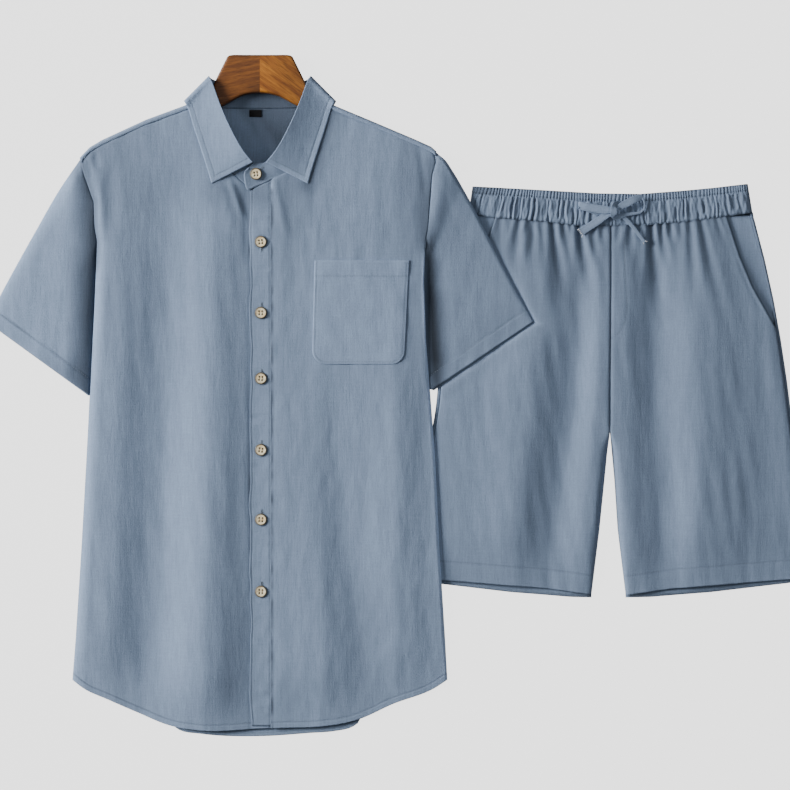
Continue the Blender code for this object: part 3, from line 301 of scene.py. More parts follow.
# Out, up of the front hem, up of the back hem.
SHORTS_HEM = (
    (22.0, -249.0, -252.5),
    (50.0, -245.0, -252.0),
    (80.0, -241.0, -249.5),
    (125.0, -237.5, -246.0),
    (180.0, -233.0, -239.5),
    (223.0, -230.0, -234.5),
    (249.0, -229.0, -230.0),
)
# Rows of the shorts from the waist down: up at the centre, up at the side.
SHORTS_ROWS = (
    (213.6, 225.5), (198.0, 208.0), (172.0, 175.0), (144.0, 135.5), (112.0, 110.0), (70.0, 86.0),
    (10.0, 20.0), (-44.0, -35.0), (-105.0, -90.0), (-168.0, -150.0), (-249.0, -229.0),
)
# Hanging folds of the legs: up, then (across, height) of each ridge and hollow.
SHORTS_FOLDS = (
    (216, (-165, 7.2), (-120, 7.4), (-66, 7.0), (-14, 7.6), (11, 7.6), (46, 7.0), (108, 7.8), (165, 7.4)),
    (150, (-165, 8.0), (-104, 12.0), (-44, 6.0), (-14, 11.4), (14, 11.6), (55, 5.8), (108, 12.4), (176, 8.6)),
    (70, (-166, 8.6), (-104, 13.4), (-42, 4.4), (-14, 12.8), (15, 12.4), (57, 5.4), (107, 14.0), (190, 7.8)),
    (-20, (-172, 8.8), (-107, 13.0), (-47, 4.4), (-18, 12.4), (15, 11.6), (59, 5.4), (110, 14.6), (200, 7.2)),
    (-105, (-176, 9.0), (-119, 13.0), (-62, 4.4), (-26, 11.8), (18, 11.4), (66, 5.6), (110, 14.6), (208, 6.6)),
    (-250, (-180, 8.8), (-128, 12.2), (-80, 4.6), (-36, 10.0), (32, 10.8), (68, 6.0), (109, 13.6), (215, 6.2)),
)
# Places of painted shade on the shorts: across, up, half width, half length, strength.
SHORTS_PAINTED_SHADE = (
    (-46.0, 125.0, 13.0, 60.0, 0.24),
    (-104.0, 105.0, 14.0, 34.0, 0.14),
)
# Gathers that run down from the waist seam: across at the seam, across and up of the lower end, half
# width, depth.
WAIST_PLEATS = (
    (-139.0, -143.0, 186.0, 3.0, 1.3),
    (-115.0, -124.0, 160.0, 3.0, 2.4),
    (-102.0, -103.0, 200.0, 2.4, 2.0),
    (-97.0, -101.0, 165.0, 2.6, 1.8),
    (-74.0, -61.0, 118.0, 3.6, 3.4),
    (-60.0, -56.0, 186.0, 2.6, 1.8),
    (-50.0, -49.0, 190.0, 2.4, 1.1),
    (-41.5, -28.0, 134.0, 3.4, 3.6),
    (-23.5, -20.0, 160.0, 2.8, 2.0),
    (-11.0, -12.0, 186.0, 2.4, 1.0),
    (9.0, 8.0, 192.0, 2.2, 0.9),
    (24.0, 22.0, 176.0, 3.0, 2.2),
    (35.0, 36.0, 196.0, 2.2, 0.9),
    (49.5, 58.0, 110.0, 3.8, 4.0),
    (62.0, 67.0, 146.0, 3.0, 2.6),
    (73.0, 75.0, 192.0, 2.4, 1.6),
    (86.0, 89.0, 190.0, 2.4, 1.0),
    (98.0, 104.0, 104.0, 3.2, 1.6),
    (112.0, 134.0, 104.0, 3.4, 1.9),
    (131.0, 140.0, 190.0, 2.4, 1.1),
)

# Each half of the drawstring: out of its eyelet, through the bow, round its loop and to its free end.
# Across, up, height.
DRAWSTRING_RIGHT = (
    (-12.0, 226.0, 11.8), (-5.0, 227.0, 11.8), (2.5, 227.6, 12.1), (8.0, 229.6, 14.0),
    (7.0, 232.6, 16.4), (0.0, 232.2, 16.8), (-10.0, 232.6, 16.4), (-24.0, 234.8, 15.8),
    (-35.0, 237.0, 15.2), (-41.0, 238.2, 13.9), (-37.0, 236.0, 12.6), (-25.0, 230.5, 12.1),
    (-12.0, 228.0, 11.9), (2.0, 227.6, 11.9), (12.0, 225.6, 11.9), (19.5, 219.6, 11.9),
    (27.0, 211.0, 11.6), (34.0, 202.0, 11.2), (42.0, 192.0, 10.8),
)
DRAWSTRING_LEFT = (
    (15.0, 241.0, 11.8), (9.5, 240.6, 12.8), (4.6, 239.0, 16.6), (3.0, 236.0, 19.6),
    (2.4, 230.0, 20.2), (3.0, 224.8, 17.8), (8.0, 224.4, 14.4), (17.0, 226.6, 13.2),
    (28.0, 228.0, 12.8), (36.0, 229.6, 12.6), (40.5, 234.0, 12.4), (41.0, 241.0, 12.4),
    (38.0, 247.6, 13.6), (30.0, 246.4, 15.4), (20.0, 241.4, 15.8), (10.0, 236.0, 16.0),
    (2.0, 231.8, 15.8), (-7.0, 226.0, 14.8), (-17.0, 218.8, 13.0), (-28.0, 211.6, 11.9),
    (-39.0, 204.5, 11.3),
)
# The tape's width and thickness, and how its width is pinched along each half: part of the length,
# part of the width.
TAPE_WIDTH, TAPE_THICK = 8.4, 1.0
PINCHES_RIGHT = ((0.0, 0.12, 0.19, 0.24, 0.4, 0.43, 0.5, 0.66, 0.74, 1.0),
                 (0.75, 0.75, 0.9, 1.2, 1.2, 0.9, 0.5, 0.55, 0.62, 0.48))
PINCHES_LEFT = ((0.0, 0.06, 0.1, 0.2, 0.24, 0.36, 0.41, 0.47, 0.5, 0.6, 0.68, 0.72, 1.0),
                (0.7, 0.8, 1.0, 1.0, 0.6, 0.35, 0.26, 0.3, 0.95, 1.15, 0.8, 1.05, 1.12))


# Curves and grids

def ease(t):
    """0 to 1 with level ends: t*t*(3 - 2*t), held outside."""
    t = np.clip(t, 0.0, 1.0)
    return t * t * (3.0 - 2.0 * t)


def roll(t):
    """A quarter of a rounded edge: upright at 0, level from 1 on."""
    t = np.clip(t, 0.0, 1.0)
    return (1.0 - (1.0 - t) ** 2.2) ** (1.0 / 2.2)


def bell(distance, width):
    """1 at no distance, falling off on both sides: exp(-(distance / width)**2)."""
    return np.exp(-((distance / width) ** 2))


def groove(distance, width, depth):
    """A sewn groove along a line, depth below the cloth."""
    return -depth * bell(distance, width)


def hermite(points, slopes, gaps, i, t):
    """A cubic between neighbouring points with the given slopes."""
    shape = (-1,) + (1,) * (points.ndim - 1)
    t = t.reshape(shape)
    length = gaps[i].reshape(shape)
    start, end = points[i], points[i + 1]
    return (
        start * (1 - t) ** 2 * (1 + 2 * t)
        + end * t**2 * (3 - 2 * t)
        + length * (slopes[i] * t * (1 - t) ** 2 - slopes[i + 1] * t**2 * (1 - t))
    )


def lengths_along(points):
    """The lengths between neighbouring points, and the length of the line up to each point."""
    gaps = np.linalg.norm(np.diff(points, axis=0), axis=1)
    return gaps, np.concatenate([[0.0], np.cumsum(gaps)])


def curve(points, places):
    """Points at the given fractions of the length of a smooth curve through the given points."""
    points = np.array(points, float)
    gaps, run = lengths_along(points)
    slopes = np.gradient(points, run, axis=0)
    at = np.clip(np.array(places, float), 0.0, 1.0) * run[-1]
    i = np.clip(np.searchsorted(run, at, side="right") - 1, 0, len(points) - 2)
    return hermite(points, slopes, gaps, i, (at - run[i]) / gaps[i])


def through(rows, places):
    """Rows of a table at places counted in rows, on a smooth curve through every row."""
    rows = np.array(rows, float)
    at = np.clip(np.array(places, float), 0.0, len(rows) - 1.0)
    i = np.clip(np.floor(at).astype(int), 0, len(rows) - 2)
    return hermite(rows, np.gradient(rows, axis=0), np.ones(len(rows)), i, at - i)


def evenly(count, power=1.0):
    """count fractions from 0 to 1, closer together near 0 where power is over 1."""
    return np.linspace(0.0, 1.0, count) ** power


def stretches(marks, counts):
    """Places that run evenly from mark to mark: each stretch has its count, with both its ends."""
    runs = [np.linspace(*ends) for ends in zip(marks[:-1], marks[1:], counts)]
    return np.concatenate(runs[:1] + [run[1:] for run in runs[1:]])


def at_level(table, value, known=0, sought=1):
    """What a table says in the sought column where its known column has a value, straight between
    its rows."""
    rows = np.array(table, float)
    rows = rows[np.argsort(rows[:, known])]
    return np.interp(value, rows[:, known], rows[:, sought])


def patch(top, bottom, left, right, u, v):
    """A panel laid between its four sewn edges (a Coons patch): the blend of top and bottom, plus
    the blend of left and right, less the blend of the corners."""
    u = u[None, :, None]
    v = v[:, None, None]
    across = (1 - v) * top[None] + v * bottom[None]
    along = (1 - u) * left[:, None] + u * right[:, None]
    upper_corners = (1 - u) * top[0] + u * top[-1]
    lower_corners = (1 - u) * bottom[0] + u * bottom[-1]
    return across + along - (1 - v) * upper_corners - v * lower_corners


def ripples(across, up, seed, across_length, up_length, count=22):
    """Seeded soft wrinkles with a mean square of 1: the sum of sine waves whose lengths are spread
    round the two given ones."""
    rng = np.random.default_rng(seed)
    total = np.zeros(np.broadcast(across, up).shape)
    for _ in range(count):
        turn = rng.normal() / across_length * across + rng.normal() / up_length * up
        total += np.sin(2.0 * math.pi * (turn + rng.uniform()))
    return total * math.sqrt(2.0 / count)


def wrinkled(across, up, seed, fine_seed, soft_across):
    """The linen's wrinkles: soft ones along the hanging folds, and a trace of fine ones."""
    return (0.2 * ripples(across, up, seed, soft_across, 150.0)
            + 0.03 * ripples(across, up, fine_seed, 11.0, 52.0))


def creases(table, across, up):
    """Sum of single creases: height * exp(-(distance / half width)**2), faded at both ends."""
    total = np.zeros(np.broadcast(across, up).shape)
    for x0, y0, x1, y1, width, height in table:
        length = math.hypot(x1 - x0, y1 - y0)
        along = ((across - x0) * (x1 - x0) + (up - y0) * (y1 - y0)) / length**2
        aside = ((across - x0) * (y1 - y0) - (up - y0) * (x1 - x0)) / length
        total += height * bell(aside, width) * ease((along + 0.2) / 0.4) * ease((1.2 - along) / 0.4)
    return total


def painted_shade_spots(table, across, up):
    """Painted shade round the places of a table, painted light where a depth is below 0: 1 - depth *
    exp(-distance**2) for each, with the distance counted in the place's half width and half length."""
    tone = np.ones(across.shape)
    for x, y, wide, long, depth in table:
        tone = tone * (1.0 - depth * bell(across - x, wide) * bell(up - y, long))
    return tone


def darkened(shade, *lines):
    """A shade that is darker along lines: times 1 - depth * exp(-(distance / width)**2) for each."""
    for depth, distance, width in lines:
        shade = shade * (1.0 - depth * bell(distance, width))
    return shade


def line_distance(points, line):
    """Distance from each point of a plan to a drawn line, as the least of the distances to its
    stretches."""
    line = np.array(line, float)
    nearest = np.full(points.shape[:-1], np.inf)
    for start, end in zip(line[:-1], line[1:]):
        step = end - start
        t = np.clip(((points - start) @ step) / (step @ step), 0.0, 1.0)
        nearest = np.minimum(nearest, np.linalg.norm(points - start - t[..., None] * step, axis=-1))
    return nearest


def tucked(grid, uv, shade, reach, drop, rows=4):
    """The grid, UV map and shade of a piece with one more row before the first: the cloth carried on
    by reach, and lower by drop, under the piece that it is sewn to."""
    on = grid[0] - grid[rows]
    on[..., 2] = 0.0
    on /= np.maximum(np.linalg.norm(on, axis=-1, keepdims=True), 1e-6)
    first = grid[0] + on * reach
    first[..., 2] -= drop
    firsts = ((first, grid), (uv[0], uv), (shade[0], shade))
    return [np.concatenate([row[None], layer]) for row, layer in firsts]


def crossing(grid, field, value, axis=0):
    """The line of points at which a field passes a value, sought down the rows, or along them with
    axis 1. Where it never does, the line leaves that place out."""
    if axis:
        grid, field = np.swapaxes(grid, 0, 1), field.T
    over = field > value
    change = over[1:] != over[:-1]
    found = change.any(0)
    row = np.argmax(change, axis=0)[found]
    column = np.nonzero(found)[0]
    a, b = field[row, column], field[row + 1, column]
    t = ((value - a) / (b - a))[:, None]
    return grid[row, column] * (1 - t) + grid[row + 1, column] * t


# The laid-out garments, as in the solids

def side(up, column):
    """How far across the shirt's side edge 1 or 2 lies at a height on the layout."""
    return at_level(SHIRT_SIDES, up, 0, column)


def shoulder_line(across):
    """How far up the shoulder line is at a distance from the centre."""
    return 402.0 - 0.42 * np.abs(across)


def folds(table, across, up):
    """Height of a surface that swings smoothly between the ridges and hollows of a table, whose
    places and heights run straight from row to row."""
    ups = np.array([row[0] for row in table])[::-1]
    marks = np.array([row[1:] for row in table], float)[::-1]
    places, heights = ([np.interp(up, ups, marks[:, k, j]) for k in range(marks.shape[1])] for j in (0, 1))
    height = heights[0]
    for k in range(1, len(places)):
        step = ease((across - places[k - 1]) / (places[k] - places[k - 1]))
        height = height + (heights[k] - heights[k - 1]) * step
    return height


def shorts_edge(up, hand=1.0):
    """Distance of the shorts' side from their centre line. The side that lies under the shirt is
    drawn in a little below the sleeve."""
    drawn_in = 5.5 * bell(up + 12.0, 60.0) * (np.asarray(hand) < 0.0)
    return at_level(SHORTS_SIDE, up, 1, 0) - drawn_in


def lift(across, up):
    """How far the shirt is raised by the shorts that lie under its side: across is the shirt's."""
    edge = SHORTS_X - SHIRT_X - shorts_edge(up)
    reach = 60.0
    sideways = ease((across - edge + reach + 14.0) / reach)
    above = ease((325.0 - up) / 80.0)
    below = ease((up + 310.0) / 75.0)
    return LIFT * sideways * above * below


def shirt_height(across, up):
    """Height of the shirt front's outer face over what the shirt lies on: its folds, which give way
    to the hanger at the shoulder, to the hem below and to the side seams."""
    height = folds(SHIRT_FOLDS, across, up)
    gain = (SHIRT_FOLD_GAIN - 1.0) * ease((250.0 - up) / 90.0)
    height = height + gain * (height - FOLD_BASE)
    below_shoulder = shoulder_line(across) - up
    over_hanger = 1.0 - ease((below_shoulder - 46.0) / 70.0)
    height = height + (SHIRT_OVER_HANGER - height) * over_hanger + creases(SHIRT_CREASES, across, up)
    above_hem = up - at_level(FRONT_HEM, across)
    height = SEAT + (height - SEAT) * (0.3 + 0.7 * ease(above_hem / 75.0))
    at_edge = np.where(across > 0.0, at_level(ARMHOLE_HEIGHTS_LEFT, up), at_level(ARMHOLE_HEIGHTS, up))
    from_edge = np.minimum(across - side(up, 1), side(up, 2) - across)
    reach = np.where(across > 0.0, 9.0 - 4.5 * ease((60.0 - up) / 80.0), EDGE_ROLL)
    return at_edge + (height - at_edge) * roll(from_edge / reach)


def shirt_top(across, up):
    """Height of the shirt front's outer face over the ground."""
    return shirt_height(across, up) + lift(across, up)


def placket_rise(out):
    """How much higher the cloth lies over the double layer beside the placket."""
    return (LAID + WALL) * (1.0 - ease((out - PLACKET_RIGHT) / 45.0))


def collar_step(across, up):
    """How far the yoke is raised by the collar leaf that lies folded under the back neck."""
    out = np.abs(across)
    edge = 346.0 + 19.0 * (out / 93.0) ** 2
    return LAYER * ease((up - edge + 24.0) / 22.0) * ease((112.0 - out) / 16.0)


def hem_gap(across, up, hem):
    """Distance to a hem of the shirt, measured square to it."""
    line = curve(hem, evenly(160))
    level = np.interp(across, line[:, 0], line[:, 1])
    slope = np.interp(across, line[:, 0], np.gradient(line[:, 1], line[:, 0]))
    return (up - level) / np.sqrt(1.0 + slope**2)


def leg_hem_gap(across, up, column):
    """Distance above a leg's hem: 1 for the front's, 2 for the back's."""
    return up - at_level(SHORTS_HEM, np.abs(across), 0, column)


def hem_relief(gap, fold):
    """The turned-up hem: thicker below its stitch line, and a groove where it is sewn."""
    return HEM_THICK * (1.0 - ease((gap - fold + 0.6) / 1.2)) + groove(gap - fold, 0.9, HEM_THICK)


def placed(centre, plan, height):
    """Points of the layout from a garment's own plan points and their heights."""
    across = plan[..., 0] + centre
    up = plan[..., 1] + LAYOUT_UP
    return np.stack([across, up, np.broadcast_to(height, across.shape)], axis=-1)


# Finishes

def tree_of(name):
    """A new material, its node tree and its main shader."""
    made = bpy.data.materials.new(name)
    made.use_nodes = True
    tree = made.node_tree
    return made, tree, tree.nodes["Principled BSDF"]


def plug(tree, made, links):
    """Gives a node's inputs their values: an output is linked, a number or colour is set."""
    for socket, value in links:
        if isinstance(value, bpy.types.NodeSocket):
            tree.links.new(value, made.inputs[socket])
        else:
            made.inputs[socket].default_value = value


def node(tree, kind, links=(), **settings):
    """A node with its settings and its inputs."""
    made = tree.nodes.new("ShaderNode" + kind)
    for key, value in settings.items():
        setattr(made, key, value)
    plug(tree, made, links)
    return made


def worked_out(tree, operation, *values):
    """The result of a Math node."""
    return node(tree, "Math", enumerate(values), operation=operation).outputs[0]


def ramp(tree, value, low, high, first, second):
    """first below low and second above high, blended between."""
    return node(tree, "MapRange", enumerate((value, low, high, first, second))).outputs[0]


def noise(tree, place, scale, detail, distortion=0.0):
    """Noise at the given places."""
    return node(tree, "TexNoise", [("Vector", place), ("Scale", scale), ("Detail", detail),
                                   ("Distortion", distortion)]).outputs[0]


def bumped(tree, height, strength, distance, over=()):
    """A bump of the given height, laid over another where one is given."""
    links = [("Height", height), ("Strength", strength), ("Distance", distance), *over]
    return node(tree, "Bump", links).outputs[0]


def painted_shade(tree):
    """The shade that is painted on the piece, point by point."""
    return node(tree, "Attribute", attribute_name="shade").outputs["Fac"]


def scaled(tree, colour, factor):
    """A colour times a number."""
    return node(tree, "VectorMath", [(0, colour), ("Scale", factor)], operation="SCALE").outputs[0]


def linen(name, colour, rough=0.88):
    """Plain-woven linen: thick and thin threads as noise drawn out along the warp and the weft of the
    UV map, a finer weave, broad clouds of wear, and the piece's own painted shade. Scales are counts
    for each metre of cloth."""
    made, tree, shader = tree_of(name)
    uv = node(tree, "TexCoord").outputs["UV"]

    def stretched(*scale):
        return node(tree, "Mapping", [("Vector", uv), ("Scale", (*scale, 1.0))]).outputs[0]

    warp = noise(tree, stretched(520.0, 42.0), 1.0, 3.0)
    weft = noise(tree, stretched(38.0, 560.0), 1.0, 3.0)
    clouds = noise(tree, stretched(26.0, 18.0), 1.0, 4.0)
    grain = noise(tree, stretched(760.0, 420.0), 1.0, 2.0)
    crinkle = noise(tree, stretched(125.0, 27.0), 1.0, 3.0)
    both = worked_out(tree, "MULTIPLY_ADD", weft, 0.45, warp)
    both = worked_out(tree, "MULTIPLY_ADD", grain, 0.9, both)
    tone = ramp(tree, both, 0.85, 1.5, 0.87, 1.13)
    worn = ramp(tree, clouds, 0.3, 0.7, 0.97, 1.03)
    light = worked_out(tree, "MULTIPLY", worked_out(tree, "MULTIPLY", tone, worn), painted_shade(tree))
    checks = node(tree, "TexChecker", [("Vector", stretched(1150.0, 1150.0)), ("Scale", 1.0)]).outputs["Fac"]
    woven = bumped(tree, worked_out(tree, "MULTIPLY_ADD", checks, 0.35, both), 0.5, 0.00035)
    plug(tree, shader, [
        ("Base Color", scaled(tree, colour, light)),
        ("Normal", bumped(tree, crinkle, 0.5, 0.0009, [("Normal", woven)])),
        ("Roughness", rough),
        ("Sheen Weight", 0.04),
        ("Sheen Roughness", 0.6),
        ("Specular IOR Level", 0.25),
    ])
    return made


def timber(name, dark, light, turn, stretch, streaks, rough):
    """Wood: long noise along the grain in object space, turned to the grain's direction, with fine
    dark pores, the piece's own painted shade and a satin varnish."""
    made, tree, shader = tree_of(name)
    place = node(tree, "TexCoord").outputs["Object"]
    grain = [("Vector", place), ("Rotation", (0.0, 0.0, turn)), ("Scale", (stretch, 1.0, 1.0))]
    turned = node(tree, "Mapping", grain, vector_type="TEXTURE").outputs[0]
    broad = noise(tree, turned, streaks, 5.0, 0.6)
    fine = noise(tree, turned, streaks * 4.0, 3.0)
    tone = ramp(tree, broad, 0.36, 0.64, 0.0, 1.0)
    base = node(tree, "Mix", [(0, tone), (6, (*dark, 1.0)), (7, (*light, 1.0))], data_type="RGBA").outputs[2]
    pores = ramp(tree, fine, 0.34, 0.5, 0.62, 1.0)
    plug(tree, shader, [
        ("Base Color", scaled(tree, base, worked_out(tree, "MULTIPLY", pores, painted_shade(tree)))),
        ("Normal", bumped(tree, fine, 0.25, 0.0004)),
        ("Roughness", ramp(tree, broad, 0.3, 0.7, rough + 0.1, rough - 0.05)),
    ])
    return made


def thread(name, colour):
    """Twisted thread: a fine twist in tone."""
    made, tree, shader = tree_of(name)
    twist = noise(tree, node(tree, "TexCoord").outputs["Object"], 2200.0, 2.0)
    plug(tree, shader, [
        ("Base Color", scaled(tree, colour, ramp(tree, twist, 0.3, 0.7, 0.8, 1.15))),
        ("Roughness", 0.7),
        ("Sheen Weight", 0.1),
    ])
    return made


CLOTH = linen("slate_linen", (0.233, 0.311, 0.449))
# A darker copy of the linen, painted shade, for the inside and the back pieces that lie under the fronts.
CLOTH_BACK_SHADED = linen("slate_linen_inside_shaded", (0.205, 0.274, 0.394))
TAPE = linen("slate_tape", (0.250, 0.331, 0.475), 0.8)
THREAD = thread("slate_thread", (0.21, 0.26, 0.33))
BUTTON_THREAD = thread("brown_thread", (0.34, 0.23, 0.12))
PALE_THREAD = thread("pale_thread", (0.80, 0.82, 0.85))
# The buttonholes' stitches: a darker copy of the slate thread, painted shade for the slit between them.
BUTTONHOLE = thread("buttonhole_thread", (0.16, 0.20, 0.255))
LABEL = linen("black_label", (0.004, 0.004, 0.005), 0.9)
BUTTON_WOOD = timber("pale_button_wood", (0.90, 0.69, 0.38), (1.0, 0.90, 0.64), 0.4, 3.0, 210.0, 0.5)
HANGER_DARK = timber("dark_hanger_wood", (0.135, 0.042, 0.008), (0.25, 0.088, 0.018), 0.16, 10.0, 240.0, 0.4)
HANGER_LIGHT = timber("light_hanger_wood", (0.23, 0.07, 0.008), (0.46, 0.17, 0.022), -0.62, 9.0, 200.0, 0.4)


# Meshes

def mesh_piece(name, points, faces, material, uv=None, shade=None, smooth=True):
    """An object of the set from points in millimetres and faces."""
    data = bpy.data.meshes.new(name)
    data.from_pydata((points * MM).tolist(), [], faces.tolist() if isinstance(faces, np.ndarray) else faces)
    corners = np.empty(len(data.loops), np.int32)
    data.loops.foreach_get("vertex_index", corners)
    flat = points[:, :2] * MM if uv is None else uv
    data.uv_layers.new(name="cut").data.foreach_set("uv", flat[corners].astype(np.float32).ravel())
    tone = np.ones(len(points)) if shade is None else shade
    data.attributes.new("shade", "FLOAT", "POINT").data.foreach_set("value", tone.astype(np.float32))
    if smooth:
        data.shade_smooth()
    data.materials.append(material)
    made = bpy.data.objects.new(name, data)
    bpy.context.scene.collection.objects.link(made)
    return made


def quads(rows, columns, ring=False):
    """Faces of a grid, wound so that they face the viewer where rows run down and columns to the
    right. With ring, the last column meets the first."""
    i = np.arange(rows - 1)[:, None]
    j = np.arange(columns if ring else columns - 1)[None, :]
    k = (j + 1) % columns
    corners = np.stack(np.broadcast_arrays(i * columns + j, (i + 1) * columns + j,
                                           (i + 1) * columns + k, i * columns + k), axis=-1)
    return corners.reshape(-1, 4)


def capped(rows, columns, turned):
    """Faces of a tube that is closed by a cap at either end. With turned, they face the other way."""
    faces = quads(rows, columns, ring=True).tolist()
    faces.append(list(range(columns)))
    faces.append(list(range((rows - 1) * columns, rows * columns))[::-1])
    return [face[::-1] for face in faces] if turned else faces


def dress(thing, nodes=()):
    """The piece rides with the set and stands for the given solids, which it hides."""
    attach(thing, "root")
    if nodes:
        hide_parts(*nodes)
    return thing


def cloth(node_name, grid, uv, shade, held, rests_on, suffix="_cloth", material=CLOTH, slot="cloth",
          thick=CLOTH_THICK, offset=-1.0, flip=None, ring=False):
    """The cloth that stands for a node: a grid of points on its outer face, given its thickness
    inwards, or to both sides with offset 0."""
    rows, columns = grid.shape[:2]
    faces = quads(rows, columns, ring)
    if flip is None:
        normal = np.cross(np.diff(grid, axis=0)[:, :-1], np.diff(grid, axis=1)[:-1])
        flip = normal[..., 2].sum() < 0
    if flip:
        faces = faces[:, ::-1]
    tone = np.broadcast_to(shade, (rows, columns))
    thing = mesh_piece(node_name + suffix, grid.reshape(-1, 3), faces, material, uv.reshape(-1, 2) * MM,
                       tone.reshape(-1))
    wall = thing.modifiers.new("cloth", "SOLIDIFY")
    wall.thickness = thick * MM
    wall.offset = offset
    dress(thing, [node_name])
    return thing


def stitching(name, paths, pitch=3.0, length=2.1, thick=0.32, sides=5):
    """The stitches along lines of points on the cloth. Each is a small spindle: a ring at one quarter
    and one at three quarters of its length, and a point at each end, half sunk."""
    starts, ends = [], []
    for path in paths:
        path = np.array(path, float)
        run = lengths_along(path)[1]
        first = np.arange(pitch / 2, run[-1] - length, pitch)
        for found, at in ((starts, first), (ends, first + length)):
            found.append(np.stack([np.interp(at, run, path[:, k]) for k in range(3)], axis=-1))
    start, end = np.concatenate(starts), np.concatenate(ends)
    along = end - start
    aside = np.stack([-along[:, 1], along[:, 0], np.zeros(len(along))], axis=-1)
    aside /= np.maximum(np.linalg.norm(aside, axis=-1, keepdims=True), 1e-9)
    rise = np.array([0.0, 0.0, thick])
    rings = [start - 0.3 * rise]
    for place in (0.25, 0.75):
        centre = start + along * place + 0.2 * rise
        for angle in np.linspace(0.0, 2.0 * math.pi, sides, endpoint=False):
            rings.append(centre + 0.6 * (aside * thick * math.cos(angle) + rise * math.sin(angle)))
    rings.append(end - 0.3 * rise)
    points = np.stack(rings, axis=1)
    each = []
    for k in range(sides):
        a, b = 1 + k, 1 + (k + 1) % sides
        c, d = a + sides, b + sides
        each += [(0, b, a), (a, b, d), (a, d, c), (c, d, 1 + 2 * sides)]
    faces = np.array(each)[None] + (np.arange(len(start)) * points.shape[1])[:, None, None]
    dress(mesh_piece(name, points.reshape(-1, 3), faces.reshape(-1, 3), THREAD))


def bar(start, end, radius, sides=8):
    """Points and faces of a short round bar of thread with tapered ends."""
    start, end = np.array(start, float), np.array(end, float)
    along = (end - start) / np.linalg.norm(end - start)
    aside = np.cross(along, (0.0, 0.0, 1.0))
    aside /= max(np.linalg.norm(aside), 1e-9)
    rise = np.cross(aside, along)
    places = np.array([0.0, 0.06, 0.3, 0.7, 0.94, 1.0])
    sizes = np.array([0.05, 0.75, 1.0, 1.0, 0.75, 0.05]) * radius
    angle = np.linspace(0.0, 2.0 * math.pi, sides, endpoint=False)
    ring = np.cos(angle)[:, None] * aside + np.sin(angle)[:, None] * rise
    bow = np.sin(places * math.pi)[:, None] * rise * radius * 0.8
    centre = start + places[:, None] * (end - start) + bow
    points = centre[:, None] + sizes[:, None, None] * ring[None]
    return points.reshape(-1, 3), quads(len(places), sides, ring=True)


def bars(name, parts, material):
    """Several bars of thread as one piece."""
    firsts = np.cumsum([0] + [len(points) for points, _ in parts])
    points = np.concatenate([points for points, _ in parts])
    faces = np.concatenate([faces + first for (_, faces), first in zip(parts, firsts)])
    dress(mesh_piece(name, points, faces, material))


# Shirt

seams = []


def front_plan(column):
    """Plan of a front between shoulder and neckline, hem, side and button stand, with its shoulder
    line, and with the heights on the layout of its side edge."""
    ups = stretches((292.0, -340.0, -356.0), (248, 20))
    rows = (ups[0] - ups) / (ups[0] - ups[-1])
    places = evenly(96, 1.3)
    at_neck = 62
    line = np.array(SHOULDERS[column], float)
    line[:, 1] -= YOKE_STRIP
    line[0] = (side(ups[0], column), ups[0])
    neck = np.array(NECKLINES[column])
    line[-1] = neck[0]
    shoulder_across = line[0, 0] + places[: at_neck + 1] / places[at_neck] * (line[-1, 0] - line[0, 0])
    shoulder = np.stack([shoulder_across, at_level(line, shoulder_across)], axis=-1)
    neckline = curve(neck, (places[at_neck:] - places[at_neck]) / (1.0 - places[at_neck]))
    hem = curve(FRONT_HEM, evenly(97))
    side_edge = np.stack([side(ups, column), ups], axis=-1)
    stand_across = PLACKET_RIGHT - 2.5 if column == 1 else PLACKET_RIGHT + SEAM
    stand_end = np.array([stand_across, at_level(hem, stand_across)])
    stand_edge = neck[-1] + rows[:, None] * (stand_end - neck[-1])
    along_hem = side_edge[-1, 0] + places * (stand_across - side_edge[-1, 0])
    bottom = np.stack([along_hem, at_level(hem, along_hem)], axis=-1)
    plan = patch(np.vstack([shoulder, neckline[1:]]), bottom, side_edge, stand_edge, places, rows)
    return plan, shoulder, ups


def front_shade(plan, column, gap, from_side, from_top):
    """Painted shade of a front: darker along its stitches, under the armhole seam, round the collar leaf and
    beside the placket, painted shade and light at the listed places, and painted light where its left side
    edge turns."""
    across, up = plan[..., 0], plan[..., 1]
    (low, soft, high, reach, depth), (leaf_depth, leaf_reach), placket_edge = FRONT_TONES[column]
    beside_armhole = ease((up - low) / soft) * (1.0 - ease((up - high) / 20.0))
    beside_armhole = beside_armhole * (1.0 - ease(from_side / reach))
    leaf_edge = np.array([row[1] for row in COLLAR_FRONT]) * (HANDS[column], 1.0)
    beside_placket = 0.62 + 0.1 * ripples(0.0, up, 31 + column, NO_WAVES, 34.0, 12)
    shade = painted_shade_spots(SHIRT_PAINTED_SHADE, across, up) * (1.0 - depth * beside_armhole)
    shade = shade * (1.0 + 1.3 * (across > 0.0) * bell(from_side, 3.0) * ease((190.0 - up) / 20.0))
    return darkened(
        shade,
        (0.3, gap - HEM_FOLD, 1.0),
        (0.04, from_top, 1.6),
        (leaf_depth, line_distance(plan, leaf_edge), leaf_reach),
        (beside_placket * ease((262.0 - up) / 8.0), across - placket_edge, 1.3),
    )


